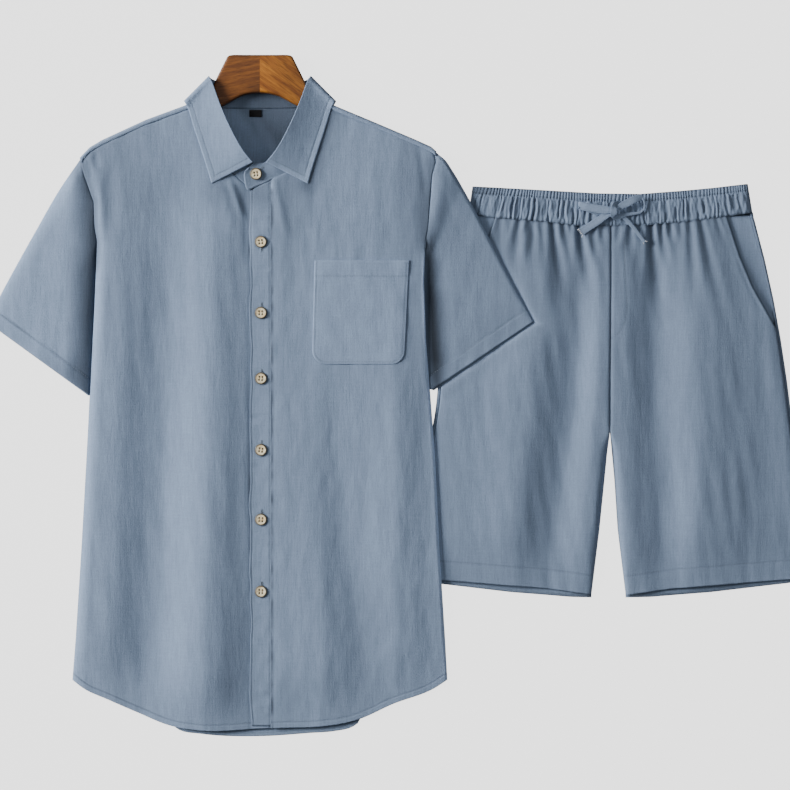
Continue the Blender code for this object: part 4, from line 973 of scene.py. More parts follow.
def shirt_front(name, column):
    """A front panel: the shirt's folds with a turned-up hem, its free side edge turned down, and its
    edges carried on under the yoke, collar and placket."""
    plan, shoulder, ups = front_plan(column)
    across, up = plan[..., 0], plan[..., 1]
    height = shirt_top(across, up)
    if column == 2:
        height = height + placket_rise(across)
    else:
        height = height - UNDER_PLACKET * ease((across - PLACKET_LEFT + 6.0) / 6.0)
    from_side = np.abs(across - side(up, column))
    gap = hem_gap(across, up, FRONT_HEM)
    from_top = line_distance(plan, shoulder[::4])
    height = height + hem_relief(gap, HEM_FOLD) * ease(from_side / 6.0) + groove(from_top, 1.6, 0.12)
    height = height + ease(from_side / 22.0) * wrinkled(across, up, 11 + column, 21 + column, 42.0)
    shade = front_shade(plan, column, gap, from_side, from_top)
    grid = placed(SHIRT_X, plan, height)

    low_edge = 1.0 if column == 1 else 0.6
    free = ease((205.0 - ups) / 12.0)[:, None]
    turned = np.repeat(grid[:, :1], 3, axis=1)
    turned[..., 0] += HANDS[column] * np.array([0.1, 0.7, 0.5])
    low = lift(side(ups, column), ups)[:, None] + np.array([0.6, 1.3, 2.2]) * low_edge
    turned[..., 2] += (low - turned[..., 2]) * free - (1.0 - free) * np.array([2.0, 1.2, 0.5])
    grid = np.concatenate([turned, grid], axis=1)
    uv = np.concatenate([turned[..., :2] - np.array([SHIRT_X, 0.0]), plan], axis=1)
    shade = np.concatenate([np.repeat(shade[:, :1], 3, axis=1), shade], axis=1)
    seams.append(crossing(grid[:, 4:], gap[:, 1:], HEM_FOLD))
    layers = tucked(grid, uv, shade, 2.4, 1.0)
    layers = tucked(*(np.swapaxes(layer[:, ::-1], 0, 1) for layer in layers), 2.4, 1.6)
    grid, uv, shade = (np.swapaxes(layer, 0, 1)[:, ::-1] for layer in layers)
    cloth(name, grid, uv, shade, "laid", ["shirt_back", "hanger_right", "hanger_left"])


def shirt_back():
    """The back panel, of which the inside shows below the front's hem."""
    ups = stretches((BACK_SEAM_UP, -330.0, -356.0), (90, 20))
    rows = (ups[0] - ups) / (ups[0] - ups[-1])
    columns = evenly(76)
    left, right = (np.stack([side(ups, k), ups], axis=-1) for k in (1, 2))
    seam = left[0] + columns[:, None] * (right[0] - left[0])
    plan = patch(seam, curve(BACK_HEM, columns), left, right, columns, rows)
    across, up = plan[..., 0], plan[..., 1]
    gap = hem_gap(across, up, BACK_HEM)
    height = lift(across, up) + CLOTH_THICK + 0.55
    height = height + 0.8 * hem_relief(gap, HEM_FOLD) + groove(gap - HEM_FOLD, 1.0, 0.2)
    shade = 1.1 - 0.5 * ease((hem_gap(across, up, FRONT_HEM) + 2.0) / 2.0)
    shade = darkened(shade, (0.24, gap - HEM_FOLD + 2.2, 0.8))
    cloth("shirt_back", placed(SHIRT_X, plan, height), plan, shade, "laid", ["shorts_front_right"],
          material=CLOTH_BACK_SHADED, slot="cloth_back")


def yoke():
    """The yoke: over each shoulder it wraps from the front seam, round the hanger's arm, to the
    back; between the shoulders it starts at the back neck seam. Beyond the wrap's curve, its rows lie
    flat as far as the back seam."""
    wrap = curve(YOKE_WRAP, evenly(30))
    half = [np.linspace(*stretch) for stretch in ((219.0, 84.0, 60), (82.0, 76.0, 6), (74.0, 0.0, 34))]
    half = np.concatenate(half)
    outs = np.concatenate([-half / 219.0 * YOKE_END_RIGHT, half[-2::-1] / 219.0 * YOKE_END_LEFT])[:, None]
    out = np.abs(outs)
    levels = [at_level(np.abs(SHOULDERS[k]), out) for k in (1, 2)]
    level = np.where(outs < 0, *levels)
    neck_level = 359.5 + 2.6 * (out / 76.0) ** 2
    at_neck = ease((83.0 - out) / 7.0)
    steps = np.linspace(0.0, 10.0, len(wrap))[None, :]
    head_up = (level - wrap[None, :, 0]) * (1 - at_neck) + (neck_level - steps) * at_neck
    head_z = wrap[None, :, 1] * (1 - at_neck) + WALL / 2 * at_neck
    reach = np.linspace(0.0, 1.0, 30)[None, 1:]
    tail_up = head_up[:, -1:] + reach * (BACK_SEAM_UP + SEAM - head_up[:, -1:])
    up = np.concatenate([head_up, tail_up], axis=1)
    z = np.concatenate([head_z, np.full_like(tail_up, WALL / 2)], axis=1)
    end = np.where(outs < 0, YOKE_END_RIGHT, YOKE_END_LEFT)
    limit = np.where(outs < 0, np.abs(side(up, 1)), side(up, 2)) - SEAM
    across = outs / end * np.minimum(limit, end)
    z = z + collar_step(across, up) * ease((12.0 - z) / 8.0)
    z = z + lift(across, up) * (z < 9.0)
    hidden = ease((16.2 - z) / 1.2) * ease((92.0 - out) / 8.0)
    lit = ease((across + 0.714 * (up - 330.0) + 17.5) / 35.0)
    shade = 1.0 + hidden * (0.45 - 1.08 * lit - 0.16 * ease((355.0 - up) / 80.0))
    plan = np.stack([across, up], axis=-1)
    cloth("shirt_yoke", placed(SHIRT_X, plan, z), plan, shade, "draped", ["hanger_right", "hanger_left"],
          thick=1.0, offset=0.0, flip=True)


def sleeve_plan(column, rows, columns):
    """Plan of a sleeve between armhole, cuff, folded top edge and underarm, and its armhole."""
    top_edge, cuff_end = SLEEVE_TOPS[column], np.array(CUFF_ENDS[column])
    off_body = HANDS[column] * 0.5
    first_up = top_edge[0][1]
    armhole_ups = first_up + columns * (UNDERARM_UP - first_up)
    armhole = np.stack([side(armhole_ups, column), armhole_ups], axis=-1)
    armhole[0] = top_edge[0]
    armhole[:, 0] += off_body
    underarm_ups = UNDERARM_UP + rows * (cuff_end[1] - UNDERARM_UP)
    underarm = np.stack([side(underarm_ups, column) + off_body, underarm_ups], axis=-1)
    underarm[-1] = cuff_end
    upper = curve(top_edge, rows)
    upper[0] = armhole[0]
    cuff = upper[-1] + columns[:, None] * (cuff_end - upper[-1])
    return patch(armhole, cuff, upper, underarm, columns, rows), armhole


def sleeve_shade(column, across, up, from_body, from_top):
    """Shade of a sleeve beside the body, which keeps the light off it. The right one lies wholly in
    it, the left one has a lit fold first, and its top edge is lit too."""
    if column == 1:
        deep = np.interp(up, (20.0, 100.0, 200.0, 270.0, 300.0), (0.66, 0.82, 0.8, 0.72, 0.2))
        reach = np.interp(up, (10.0, 80.0, 160.0, 240.0, 270.0), (30.0, 36.0, 40.0, 30.0, 20.0))
        low_corner = bell(across + 237.0, 24.0) * bell(up - 30.0, 20.0)
        return 1.06 * (1.0 - deep * np.sqrt(1.0 - ease(from_body / reach))) * (1.0 - 0.35 * low_corner)
    deep = np.interp(up, (0.0, 45.0, 120.0, 170.0, 205.0, 235.0), (0.6, 0.9, 0.9, 0.8, 0.5, 0.0))
    start = np.interp(up, (45.0, 120.0, 170.0, 205.0), (10.0, 8.0, 6.0, 2.0))
    reach = np.interp(up, (0.0, 45.0, 120.0, 170.0, 205.0), (12.0, 24.0, 28.0, 20.0, 12.0))
    shade = 0.92 * (1.0 - deep * (1.0 - ease((from_body - start) / reach)))
    shade = shade + 0.4 * bell(from_body, 5.0) * ease((190.0 - up) / 30.0)
    return shade + 0.25 * bell(from_top, 2.0) + 0.3 * bell(from_body, 3.0) * ease((up - 232.0) / 20.0)


def sleeve(name, column):
    """A sleeve: a flat-lying tube between the armhole and the cuff, with a rolled top edge. Its
    height falls from the armhole's to that of the middle, and rolls off to both sides."""
    columns = np.concatenate([0.16 * evenly(22, 1.6), stretches((0.16, 0.88, 1.0), (62, 16))[1:]])
    rows = stretches((0.0, 0.1, 0.92, 1.0), (12, 62, 16))
    plan, armhole = sleeve_plan(column, rows, columns)
    across, up = plan[..., 0], plan[..., 1]
    middles, settled_by, heights = SLEEVE_HEIGHTS[column]
    middle = np.interp(rows, *middles)[:, None]
    at_seam = at_level(heights, armhole[:, 1])[None, :]
    height = at_seam + (middle - at_seam) * ease(rows / settled_by)[:, None]
    from_top = np.linalg.norm(plan - plan[:, :1], axis=-1)
    from_under = np.linalg.norm(plan - plan[:, -1:], axis=-1)
    from_armhole = ease(rows / 0.3)[:, None]
    if column == 1:
        lying = roll(from_top / 20.0) * roll(from_under / (6.0 + 34.0 * from_armhole))
        seat = EDGE_SEAT
    else:
        lying = roll(from_top / 6.0) * ease((from_under + 2.0) / (16.0 + 44.0 * from_armhole))
        seat = np.interp(rows, *LEFT_SLEEVE_SEAT)[:, None]
    height = seat + (height - seat) * lying
    cuff_line = plan[-1, 0] - plan[-1, -1]
    square = np.array([-cuff_line[1], cuff_line[0]]) / np.linalg.norm(cuff_line)
    gap = np.abs((plan - plan[-1, 0]) @ square)
    if column == 2:
        height = 1.4 + (height - 1.4) * (0.3 + 0.7 * ease(gap / 45.0))
    height = height + hem_relief(gap, CUFF_FOLD) * ease(from_top / 4.0)
    soft = ease(from_top / 20.0) * ease(from_under / 30.0)
    height = height + soft * 0.2 * ripples(across, up, 41 + column, 40.0, 90.0)
    from_seam = rows[:, None] * SLEEVE_LENGTH
    height = height + groove(from_seam, 2.2, 0.6)

    rest = lift(across, up)
    under_plan = plan.copy()
    outwards = square * np.sign((plan[-1, 0] - plan[0, 0]) @ square)
    under_plan[-8:] += np.linspace(0.0, 1.0, 8)[:, None, None] * outwards * 1.3
    back = np.arange(0, len(columns), 3)[::-1]
    under = placed(SHIRT_X, under_plan[:, back], rest[:, back] + 0.02)
    grid = np.concatenate([placed(SHIRT_X, plan, height + rest), under], axis=1)
    from_body = np.abs(across) - np.abs(side(up, column))
    shade = sleeve_shade(column, across, up, from_body, from_top)
    shade = darkened(shade, (0.25, gap - CUFF_FOLD, 1.0), (0.3, from_seam, 2.5))
    shade = np.concatenate([shade, np.full((len(rows), len(back)), 0.8)], axis=1)
    uv = np.concatenate([plan, under_plan[:, back] + np.array([400.0, 0.0])], axis=1)
    seams.append(crossing(grid[:, 2 : len(columns) - 2], gap[:, 2:-2], CUFF_FOLD))
    cloth(name, *tucked(grid, uv, shade, 3.4, 0.9, 6), "laid", ["shorts_front_right"], ring=True,
          flip=column == 2)


def collar_rows():
    """Fold, outer edge, neck seam and stand top of the collar for rows round the neck: from the front
    end at the viewer's left, over the shoulder, round the back and on to the other front end. Also
    the rises of the fold."""
    front = []
    for fold, edge, seam, _ in COLLAR_FRONT:
        top = (0.96 * fold[0] + 0.04 * seam[0], 0.96 * fold[1] + 0.04 * seam[1])
        front.append([(*point, 0.0) for point in (fold, edge, seam, top)])
    half = np.array(front + list(COLLAR_BACK))
    rows = np.concatenate([half * (-1.0, 1.0, 1.0), half[-2::-1]])
    from_end = np.minimum(np.arange(len(rows)), np.arange(len(rows))[::-1])
    rises = np.array([row[3] for row in COLLAR_FRONT])[np.minimum(from_end, len(front) - 1)]
    return rows, rises[:, None], (from_end < len(front))[:, None]


def finer(grid, rows, columns):
    """A grid with more rows and columns, on smooth curves through all of its points."""
    return np.swapaxes(through(np.swapaxes(through(grid, rows), 0, 1), columns), 0, 1)


def collar_leaf():
    """The collar leaf falls from the fold to its outer edge: rise * (1 - c)**1.5 above the shirt,
    where c runs from the fold to the edge. The heights of its fold are given back."""
    rows, rise, on_shirt = collar_rows()
    last = len(rows) - 1.0
    down = np.linspace(0.0, 1.0, 7)[None, :]
    leaf = rows[:, None, 0] + down[..., None] * (rows[:, None, 1] - rows[:, None, 0])
    across, up = leaf[..., 0], leaf[..., 1]
    rest = shirt_top(across, up) + LAID + WALL / 2 + placket_rise(np.abs(across))
    leaf[..., 2] = np.where(on_shirt, rest + rise * (1.0 - down) ** 1.5, leaf[..., 2])

    dense = stretches((0.0, 0.5, last - 0.5, last), (14, 210, 14))
    grid = finer(leaf, dense, 6.0 * stretches((0.0, 0.1, 0.8, 1.0), (6, 16, 14)))
    plan = grid[..., :2]
    on_top = ease((grid[..., 2] - 7.0) / 4.0)
    halves = [dense <= 6.2, dense >= last - 6.2]
    outer = np.minimum(*(line_distance(plan, grid[half, -1, :2]) for half in halves))
    ends = np.minimum(*(line_distance(plan, grid[end, ::4, :2]) for end in (0, -1)))
    edge = np.minimum(outer, ends)
    relief = groove(edge - LEAF_STITCH, 0.9, 0.28) - 0.5 * (1.0 - roll(edge / 1.6))
    relief = relief + 0.1 * ripples(plan[..., 0], plan[..., 1], 61, 40.0, 40.0) * ease(edge / 12.0)
    grid[..., 2] += relief * on_top
    rim_lit = ease((grid[..., 0] - 20.0) / 10.0) * (1.0 - ease((edge - 3.5) / 5.0)) * on_top
    shade = darkened((1.0 + 0.3 * rim_lit) * (0.8 + 0.2 * on_top), (0.17 * on_top, edge - LEAF_STITCH, 1.0))
    grid = placed(SHIRT_X, plan, grid[..., 2])
    stitched = grid + np.array([0.0, 0.0, DOUBLE_THICK / 2])
    seams.extend(crossing(stitched[half], outer[half], LEAF_STITCH, 1) for half in halves)
    seams.extend(crossing(stitched[end], ends[end], LEAF_STITCH) for end in (slice(40), slice(None, -41, -1)))
    cloth("collar_leaf", grid, plan, shade, "folded", ["shirt_front_right", "shirt_front_left"],
          thick=DOUBLE_THICK, offset=0.0, flip=False)
    return leaf[:, 0, 2]


def collar_stand(fold_heights):
    """The collar stand climbs from the neck seam to just under the fold, and its front ends lie over
    each other, the upper one with a round tip: (1 - |v|**2.6)**(1/2.6), where v runs over its width."""
    rows, _, on_shirt = collar_rows()
    down = np.linspace(0.0, 1.0, 5)[None, :]
    stand = rows[:, None, 3] + down[..., None] * (rows[:, None, 2] - rows[:, None, 3])
    seam_height = shirt_top(rows[:, 2, 0], rows[:, 2, 1]) - WALL / 2
    top_height = fold_heights - WALL - LAID - 0.3
    climbing = seam_height[:, None] + (top_height - seam_height)[:, None] * (1.0 - down)
    stand[..., 2] = np.where(on_shirt, climbing, stand[..., 2])
    ends = []
    for table in (STAND_END_UNDER, STAND_END_OVER):
        top, low = (np.array([(*row[k], row[2]) for row in table])[:, None] for k in (0, 1))
        strip = top + down[..., None] * (low - top)
        crown = strip[..., 2] + STAND_CROWN * (1.0 - down)
        strip[..., 2] = shirt_top(strip[..., 0], strip[..., 1]) - WALL / 2 + crown
        ends.append(strip)
    whole = np.concatenate([ends[0], stand[1:-1], ends[1]])
    last = len(whole) - 1.0
    dense = np.linspace(0.0, last, 230)[:, None]
    grid = finer(whole, dense[:, 0], np.linspace(0.0, 4.0, 20))
    v = np.linspace(-1.0, 1.0, 20)[None, :]
    rounded = np.clip(1.0 - np.abs(v) ** 2.6, 0.0, 1.0) ** (1 / 2.6)
    tip = 1.0 - ease((last - dense) / 0.7)
    grid[..., 0] += tip * (1.0 - rounded) * np.where(v > 0.0, 4.5, 6.0)
    low_edge = line_distance(grid[..., :2], grid[dense[:, 0] > last - 5.0, -1, :2])
    tip_edge = line_distance(grid[..., :2], grid[-1, ::2, :2])
    grid[..., 2] += groove(np.minimum(low_edge, tip_edge) - 2.4, 0.7, 0.3) * (dense > last - 4.0)
    grid[:, -3:, 1] -= np.array([0.2, 0.6, 1.1]) * (grid[:, -3:, 2] > 12.0)
    # Painted shade: inside the back the stand is lighter at the viewer's left, where the collar's shadow falls,
    # and darker to the right; outside it is darker, most at the end that lies under.
    inner_back = ease((9.0 - grid[..., 2]) / 4.0)
    inner_shade = np.interp(grid[..., 0], (-44.0, -25.0, -12.0, 0.0, 40.0), (1.2, 0.76, 0.52, 0.36, 0.33))
    under_end = 1.0 - ease((dense - 1.0) / 1.5)
    shade = inner_back * inner_shade + (1.0 - inner_back) * (0.86 - 0.3 * under_end)
    plan = grid[..., :2]
    cloth("collar_stand", placed(SHIRT_X, plan, grid[..., 2]), plan, shade, "folded",
          ["shirt_front_right", "shirt_front_left"], thick=DOUBLE_THICK, offset=0.0, flip=False)


def placket():
    """The button placket: its free edge at the viewer's left waves a little, and both edges are
    stitched."""
    u = stretches((0.0, 0.2, 0.78, 1.0), (10, 14, 12))
    across = PLACKET_LEFT + u * (PLACKET_RIGHT - PLACKET_LEFT)
    top = PLACKET_TOP_LEFT + u * (PLACKET_TOP_RIGHT - PLACKET_TOP_LEFT)
    up = top + evenly(280)[:, None] * (PLACKET_BOTTOM - top)
    edge_wave = 0.7 * ripples(0.0, up[:, :1], 71, NO_WAVES, 60.0, 9) * (1.0 - u) ** 3
    plan = np.stack([across + edge_wave, up], axis=-1)
    left, right = across - PLACKET_LEFT, PLACKET_RIGHT - across
    pucker = ripples(0.0, up, 72, NO_WAVES, 11.0, 16)
    relief = groove(left - 2.7, 0.7, 0.35) + groove(right - 2.9, 0.7, 0.35)
    relief = relief + groove(right, 1.2, 0.6) - 0.3 * (1.0 - roll(left / 1.3))
    relief = relief + 0.08 * pucker * bell(right - 2.2, 2.4) + 0.14 * ripples(across, up, 73, 30.0, 26.0)
    shade = 0.95 - 0.24 * bell(left - 2.7, 0.9) - 0.12 * bell(right - 2.9, 0.9)
    shade = shade - (0.42 + 0.06 * pucker) * bell(right, 1.3)
    shade = darkened(shade * (1.0 - 0.22 * ease((up - 226.0) / 24.0)), (0.4, left, 1.0))
    for button_across, button_up in BUTTON_PLACES:
        off = np.hypot(plan[..., 0] - button_across, up - button_up) - BUTTON_DIAMETER / 2
        shade = darkened(shade, (0.34, off - 0.3, 1.1))
    grid = placed(SHIRT_X, plan, shirt_top(plan[..., 0], up) + PLACKET_OVER + relief)
    for part, field in ((slice(0, 14), left), (slice(14, None), right)):
        seams.append(crossing(grid[:, part], np.tile(field[part], (len(grid), 1)), PLACKET_STITCH, 1))
    cloth("placket", grid, plan, shade, "laid", ["shirt_front_right"], thick=DOUBLE_THICK)


def pocket_edge(top, low, hand):
    """One side of the pocket and half of its lower corner: straight, then a quarter of a circle."""
    turn = np.linspace(0.0, math.pi / 2, 12)[1:, None]
    arc = np.hstack([low + hand * POCKET_CORNER * (1 - np.cos(turn)),
                     POCKET_BOTTOM + POCKET_CORNER * (1 - np.sin(turn))])
    straight = np.linspace((top, POCKET_TOP), (low, POCKET_BOTTOM + POCKET_CORNER), 52)
    return np.vstack([straight, arc])


def pocket():
    """The patch pocket: its sides run into round lower corners, and its top edge stands off a
    little."""
    inner, outer = pocket_edge(*POCKET_INNER, 1.0), pocket_edge(*POCKET_OUTER, -1.0)
    columns = stretches((0.0, 0.07, 0.93, 1.0), (9, 48, 9))
    upper = inner[0] + columns[:, None] * (outer[0] - inner[0])
    upper[:, 1] += 1.2 * columns
    lower = inner[-1] + columns[:, None] * (outer[-1] - inner[-1])
    plan = patch(upper, lower, inner, outer, columns, evenly(len(inner)))
    across, up = plan[..., 0], plan[..., 1]
    edge = line_distance(plan, np.vstack([inner, outer[::-1]]))
    below_hem = POCKET_TOP - up - POCKET_HEM
    gape = bell(across - 110.0, 38.0) * np.exp(-((POCKET_TOP - up) / 14.0))
    relief = groove(edge - POCKET_STITCH, 0.8, 0.25) - 0.5 * (1.0 - roll(edge / 2.0))
    relief = relief + 1.3 * gape * ease(edge / 10.0) + groove(below_hem, 0.9, 0.3)
    relief = relief + 0.18 * ripples(across, up, 81, 34.0, 60.0)
    shade = 1.13 - 0.16 * bell(edge - POCKET_STITCH, 1.0) - 0.12 * bell(below_hem, 1.0)
    shade = darkened(shade, (0.15, edge, 1.0))
    grid = placed(SHIRT_X, plan, shirt_top(across, up) + POCKET_OVER + relief)
    half = len(columns) // 2
    for part in (slice(0, half), slice(half, None)):
        seams.append(crossing(grid[:-4, part], edge[:-4, part], POCKET_STITCH, 1))
    seams.append(crossing(grid[-16:, 8:-8], edge[-16:, 8:-8], POCKET_STITCH))
    seams.append(crossing(grid[:24, 3:-3], up[:24, 3:-3], POCKET_TOP - POCKET_HEM))
    cloth("chest_pocket", grid, plan, shade, "laid", ["shirt_front_left"], thick=0.85)


def neck_label():
    """A folded black woven label, sewn over the back neck seam."""
    across, up = np.linspace(LABEL_LEFT, LABEL_RIGHT, 24), np.linspace(LABEL_TOP, LABEL_BOTTOM, 14)
    across, up = np.meshgrid(across, up)
    plan = np.stack([across, up], axis=-1)
    edge = np.min([across - LABEL_LEFT, LABEL_RIGHT - across, LABEL_TOP - up, up - LABEL_BOTTOM], axis=0)
    rest = WALL + collar_step(across, up).max() + SEAM
    height = rest + 0.6 + 0.4 * roll(edge / 1.5) + 0.12 * ripples(across, up, 91, 8.0, 8.0)
    face = placed(SHIRT_X, plan, height)
    turned = face[-1:] + np.array([[[0.0, 0.1, -0.75]], [[0.0, 1.6, -0.75]]])
    uv = np.concatenate([plan, plan[-1:] - np.array([[[0.0, 0.8]], [[0.0, 2.3]]])])
    cloth("neck_label", np.concatenate([face, turned]), uv, 1.0, "laid", ["shirt_yoke"], suffix="_woven",
          material=LABEL, slot="label_black", thick=0.3)


# Buttons

def turned_by(turn, x, y):
    """Places turned about the middle of a button."""
    return x * math.cos(turn) - y * math.sin(turn), x * math.sin(turn) + y * math.cos(turn)


def button(name, across, up, rest, turn):
    """A turned button: the height of its face by radius is a dish with a raised rim, less four blind
    thread holes; the underside is flat."""
    radius = BUTTON_DIAMETER / 2
    face_r = np.concatenate([[0.0], np.linspace(0.2, 3.9, 22), np.linspace(4.2, radius, 16)])
    face_z = np.interp(face_r, (0.0, 4.0, 4.8, 6.0, 6.8, radius), (1.9, 1.9, 2.02, 2.2, 2.12, 1.5))
    r = np.concatenate([face_r, [radius, radius * 0.94, 0.0]])[:, None]
    z = np.concatenate([face_z, [0.5, 0.0, 0.0]])[:, None]
    angle = np.linspace(0.0, 2.0 * math.pi, 72, endpoint=False)
    x, y = r * np.cos(angle), r * np.sin(angle)
    near = np.min([np.hypot(x - i * HOLE_OUT, y - j * HOLE_OUT) for i in (-1, 1) for j in (-1, 1)], axis=0)
    holed = (np.arange(len(r)) < 30)[:, None]
    height = z - np.where(holed, 1.1 * (1.0 - ease((near - 0.85) / 0.4)), 0.0)
    shade = np.where(holed, 1.0 - 0.93 * (1.0 - ease((near - 1.0) / 0.4)), 1.0)
    shade = shade * (1.0 - 0.86 * ease((r - radius + 1.9) / 0.7))
    points = np.stack([*turned_by(turn, x, y), height], axis=-1)
    points += np.array([SHIRT_X + across, LAYOUT_UP + up, rest])
    thing = mesh_piece(name + "_turned", points.reshape(-1, 3), quads(*x.shape, ring=True), BUTTON_WOOD,
                       shade=shade.reshape(-1))
    dress(thing, [name])


def buttons():
    """Seven buttons, the thread through their holes and the buttonholes that show beside them."""
    ring = np.linspace(0.0, 2.0 * math.pi, 17)
    rim_across, rim_up = BUTTON_DIAMETER / 2 * np.cos(ring), BUTTON_DIAMETER / 2 * np.sin(ring)
    threads, holes = [], []
    rng = np.random.default_rng(5)
    for number, (across, up) in enumerate(BUTTON_PLACES, 1):
        at_collar = number == 1
        rest = shirt_top(across + rim_across, up + rim_up).max() + PLACKET_OVER - 0.2
        rest += STAND_CROWN if at_collar else 0.0
        turn = rng.uniform(-0.2, 0.2)
        button(f"button_{number}", across, up, rest, turn)
        for x in (-HOLE_OUT - 0.2, -HOLE_OUT + 0.2, HOLE_OUT - 0.2, HOLE_OUT + 0.2):
            ends = np.array([turned_by(turn, x, y) for y in (-HOLE_OUT, HOLE_OUT)]) + np.array([across, up])
            threads.append(bar(*placed(SHIRT_X, ends, rest + 1.75), 0.2))
        if at_collar:
            middle, lean, over = np.array([across + 5.5, up + 6.0]), math.radians(-52.0), PLACKET_OVER + 1.75
        else:
            below = -4.5 if number == 2 else 4.5
            middle, lean, over = np.array([across + 1.0, up + below]), math.radians(2.0), PLACKET_OVER + 0.05
        for shift in (-0.75, 0.75):
            ends = np.array([turned_by(lean, shift, y) for y in (-BUTTONHOLE_HALF, BUTTONHOLE_HALF)]) + middle
            holes.append(bar(*placed(SHIRT_X, ends, shirt_top(ends[:, 0], ends[:, 1]) + over), 0.42))
    bars("button_threads", threads, BUTTON_THREAD)
    bars("buttonholes", holes, BUTTONHOLE)


# Hanger

def hanger_half(name, hand, material):
    """Half of the hanger: at each place from the joint to the end of the arm, a flat board between
    its upper and lower edge, with rounded corners and faces that crown a little."""
    radius, corner = 3.4, 7
    half_thick = (HANGER_FRONT - HANGER_BACK) / 2
    rows = through(HANGER_HALF, stretches((0.0, 9.0, 15.0), (70, 50)))
    upper, lower = rows[:, 0], rows[:, 1]
    reach = np.linalg.norm(upper - lower, axis=-1)[:, None] / 2
    along = (upper - lower) / (2 * reach)
    small = np.minimum(radius, reach * 0.8)
    flat = reach - small
    face = np.linspace(1.0, -1.0, 9)[1:-1]
    offsets, heights = [], []
    for quarter, (sx, sz) in enumerate(((1, 1), (-1, 1), (-1, -1), (1, -1))):
        angles = np.linspace(0.0, math.pi / 2, corner) + quarter * math.pi / 2
        offsets.append(sx * flat + small * np.cos(angles))
        heights.append(sz * (half_thick - radius) + radius * np.sin(angles))
        if quarter in (0, 2):
            offsets.append(flat * face * sx)
            heights.append(sz * (half_thick + 0.25 * (1 - face**2)))
    offset = np.concatenate(offsets, axis=1)
    height = np.concatenate(heights) + (HANGER_BACK + HANGER_FRONT) / 2
    plan = (upper + lower)[:, None] / 2 + offset[..., None] * along[:, None]
    out, up = plan[..., 0], plan[..., 1]
    points = placed(SHIRT_X, plan * (hand, 1.0), height)
    # Painted shade: darker along the board's rounded edges; the dark half is darker near the joint below its
    # top, the light half lighter at the joint and darker towards the arm's end.
    from_edge = np.minimum(reach - np.abs(offset), 40.0)
    tone = 1.0 - 0.5 * bell(from_edge, 1.5)
    if hand < 0:
        tone = tone * (1.05 - 0.35 * ease((38.0 - out) / 36.0) * ease((405.0 - up) / 25.0))
    else:
        tone = tone * (1.15 - 0.42 * ease(out / 52.0))
    thing = mesh_piece(name + "_board", points.reshape(-1, 3), capped(*offset.shape, hand < 0), material,
                       shade=tone.reshape(-1))
    thing.data.set_sharp_from_angle(angle=math.radians(50.0))
    dress(thing, [name])


# Shorts

def past_shirt(across, up):
    """Distance by which a point of the shorts lies outside the shirt and its sleeve."""
    from_shirt = across + SHORTS_X - SHIRT_X
    tip = np.array(SLEEVE_TOP_LEFT[-1])

    def past(line):
        line = line / np.linalg.norm(line)
        return line[0] * (up - tip[1]) - line[1] * (from_shirt - tip[0])

    past_top = past(tip - np.array(SLEEVE_TOP_LEFT[2]))
    past_cuff = past(np.array(CUFF_ENDS[2]) - tip)
    return np.minimum(np.maximum(past_top, past_cuff), from_shirt - side(up, 2))


def pressed(height, across, up):
    """Height of the shorts once the shirt lies on them: beyond it, the cloth rises by
    1 - exp(-distance / 16) of what is left."""
    free = 1.0 - np.exp(-np.maximum(past_shirt(across, up) - 1.5, 0.0) / 16.0)
    low = np.minimum(height, SHORTS_HEIGHT_UNDER_SHIRT)
    return low + (height - low) * free


def shade_beside_shirt(across, up):
    """Painted shade of the shorts' cloth along the shirt and its sleeve: painted light right beside
    them, against the shadow that they cast, and a painted darker strip where the cloth rises beyond them."""
    past = past_shirt(across, up)
    return 1.0 + 0.5 * bell(past - 1.0, 3.5) - 0.14 * bell(past - 12.0, 10.0)


def inseam(up, hand):
    """Where the inner edge of a leg lies: the centre seam above the crotch, the inseam below."""
    below = at_level(INSEAM_RIGHT if hand < 0 else INSEAM_LEFT, up, 1, 0)
    return np.where(up > CROTCH_UP, CENTRE_SEAM_LEAN * ease((WAIST_UP - up) / CENTRE_SEAM_LENGTH), below)


def waist(across):
    """How far up the seam under the waistband is."""
    return at_level(WAIST_SEAM, across)


def pleats(across, up):
    """Height of the gathers under the waist seam: each a trough that widens and fades down its
    length, with a soft ridge on either side."""
    total = np.zeros(across.shape)
    for start, end, end_up, width, depth in WAIST_PLEATS:
        start_up = float(waist(start))
        t = (start_up - up) / (start_up - end_up)
        off = across - (start + (end - start) * np.clip(t, 0.0, 1.3))
        wide = 0.88 * width * (1.0 + 1.6 * np.clip(t, 0.0, 1.4))
        trough = bell(off, wide) - 0.45 * bell(np.abs(off) - 2.1 * wide, wide)
        total -= 0.8 * depth * ease((1.25 - t) / 0.95) * trough
    return total


def shorts_height(across, up):
    """Height of the shorts' front before the shirt presses on it."""
    height = folds(SHORTS_FOLDS, across, up)
    height = height + (SHORTS_FOLD_GAIN - 1.0) * (height - FOLD_BASE) * ease((225.0 - up) / 70.0)
    from_side = shorts_edge(up, across) - np.abs(across)
    from_inseam = np.where(across < CENTRE_SEAM_LEAN, inseam(up, -1.0) - across, across - inseam(up, 1.0))
    inner = 1.0 - (1.0 - roll(from_inseam / 12.0)) * ease((CROTCH_UP - up) / 30.0)
    inner = inner * (0.35 + 0.65 * ease(leg_hem_gap(across, up, 1) / 75.0))
    return SEAT + (height - SEAT) * roll(from_side / EDGE_ROLL) * inner


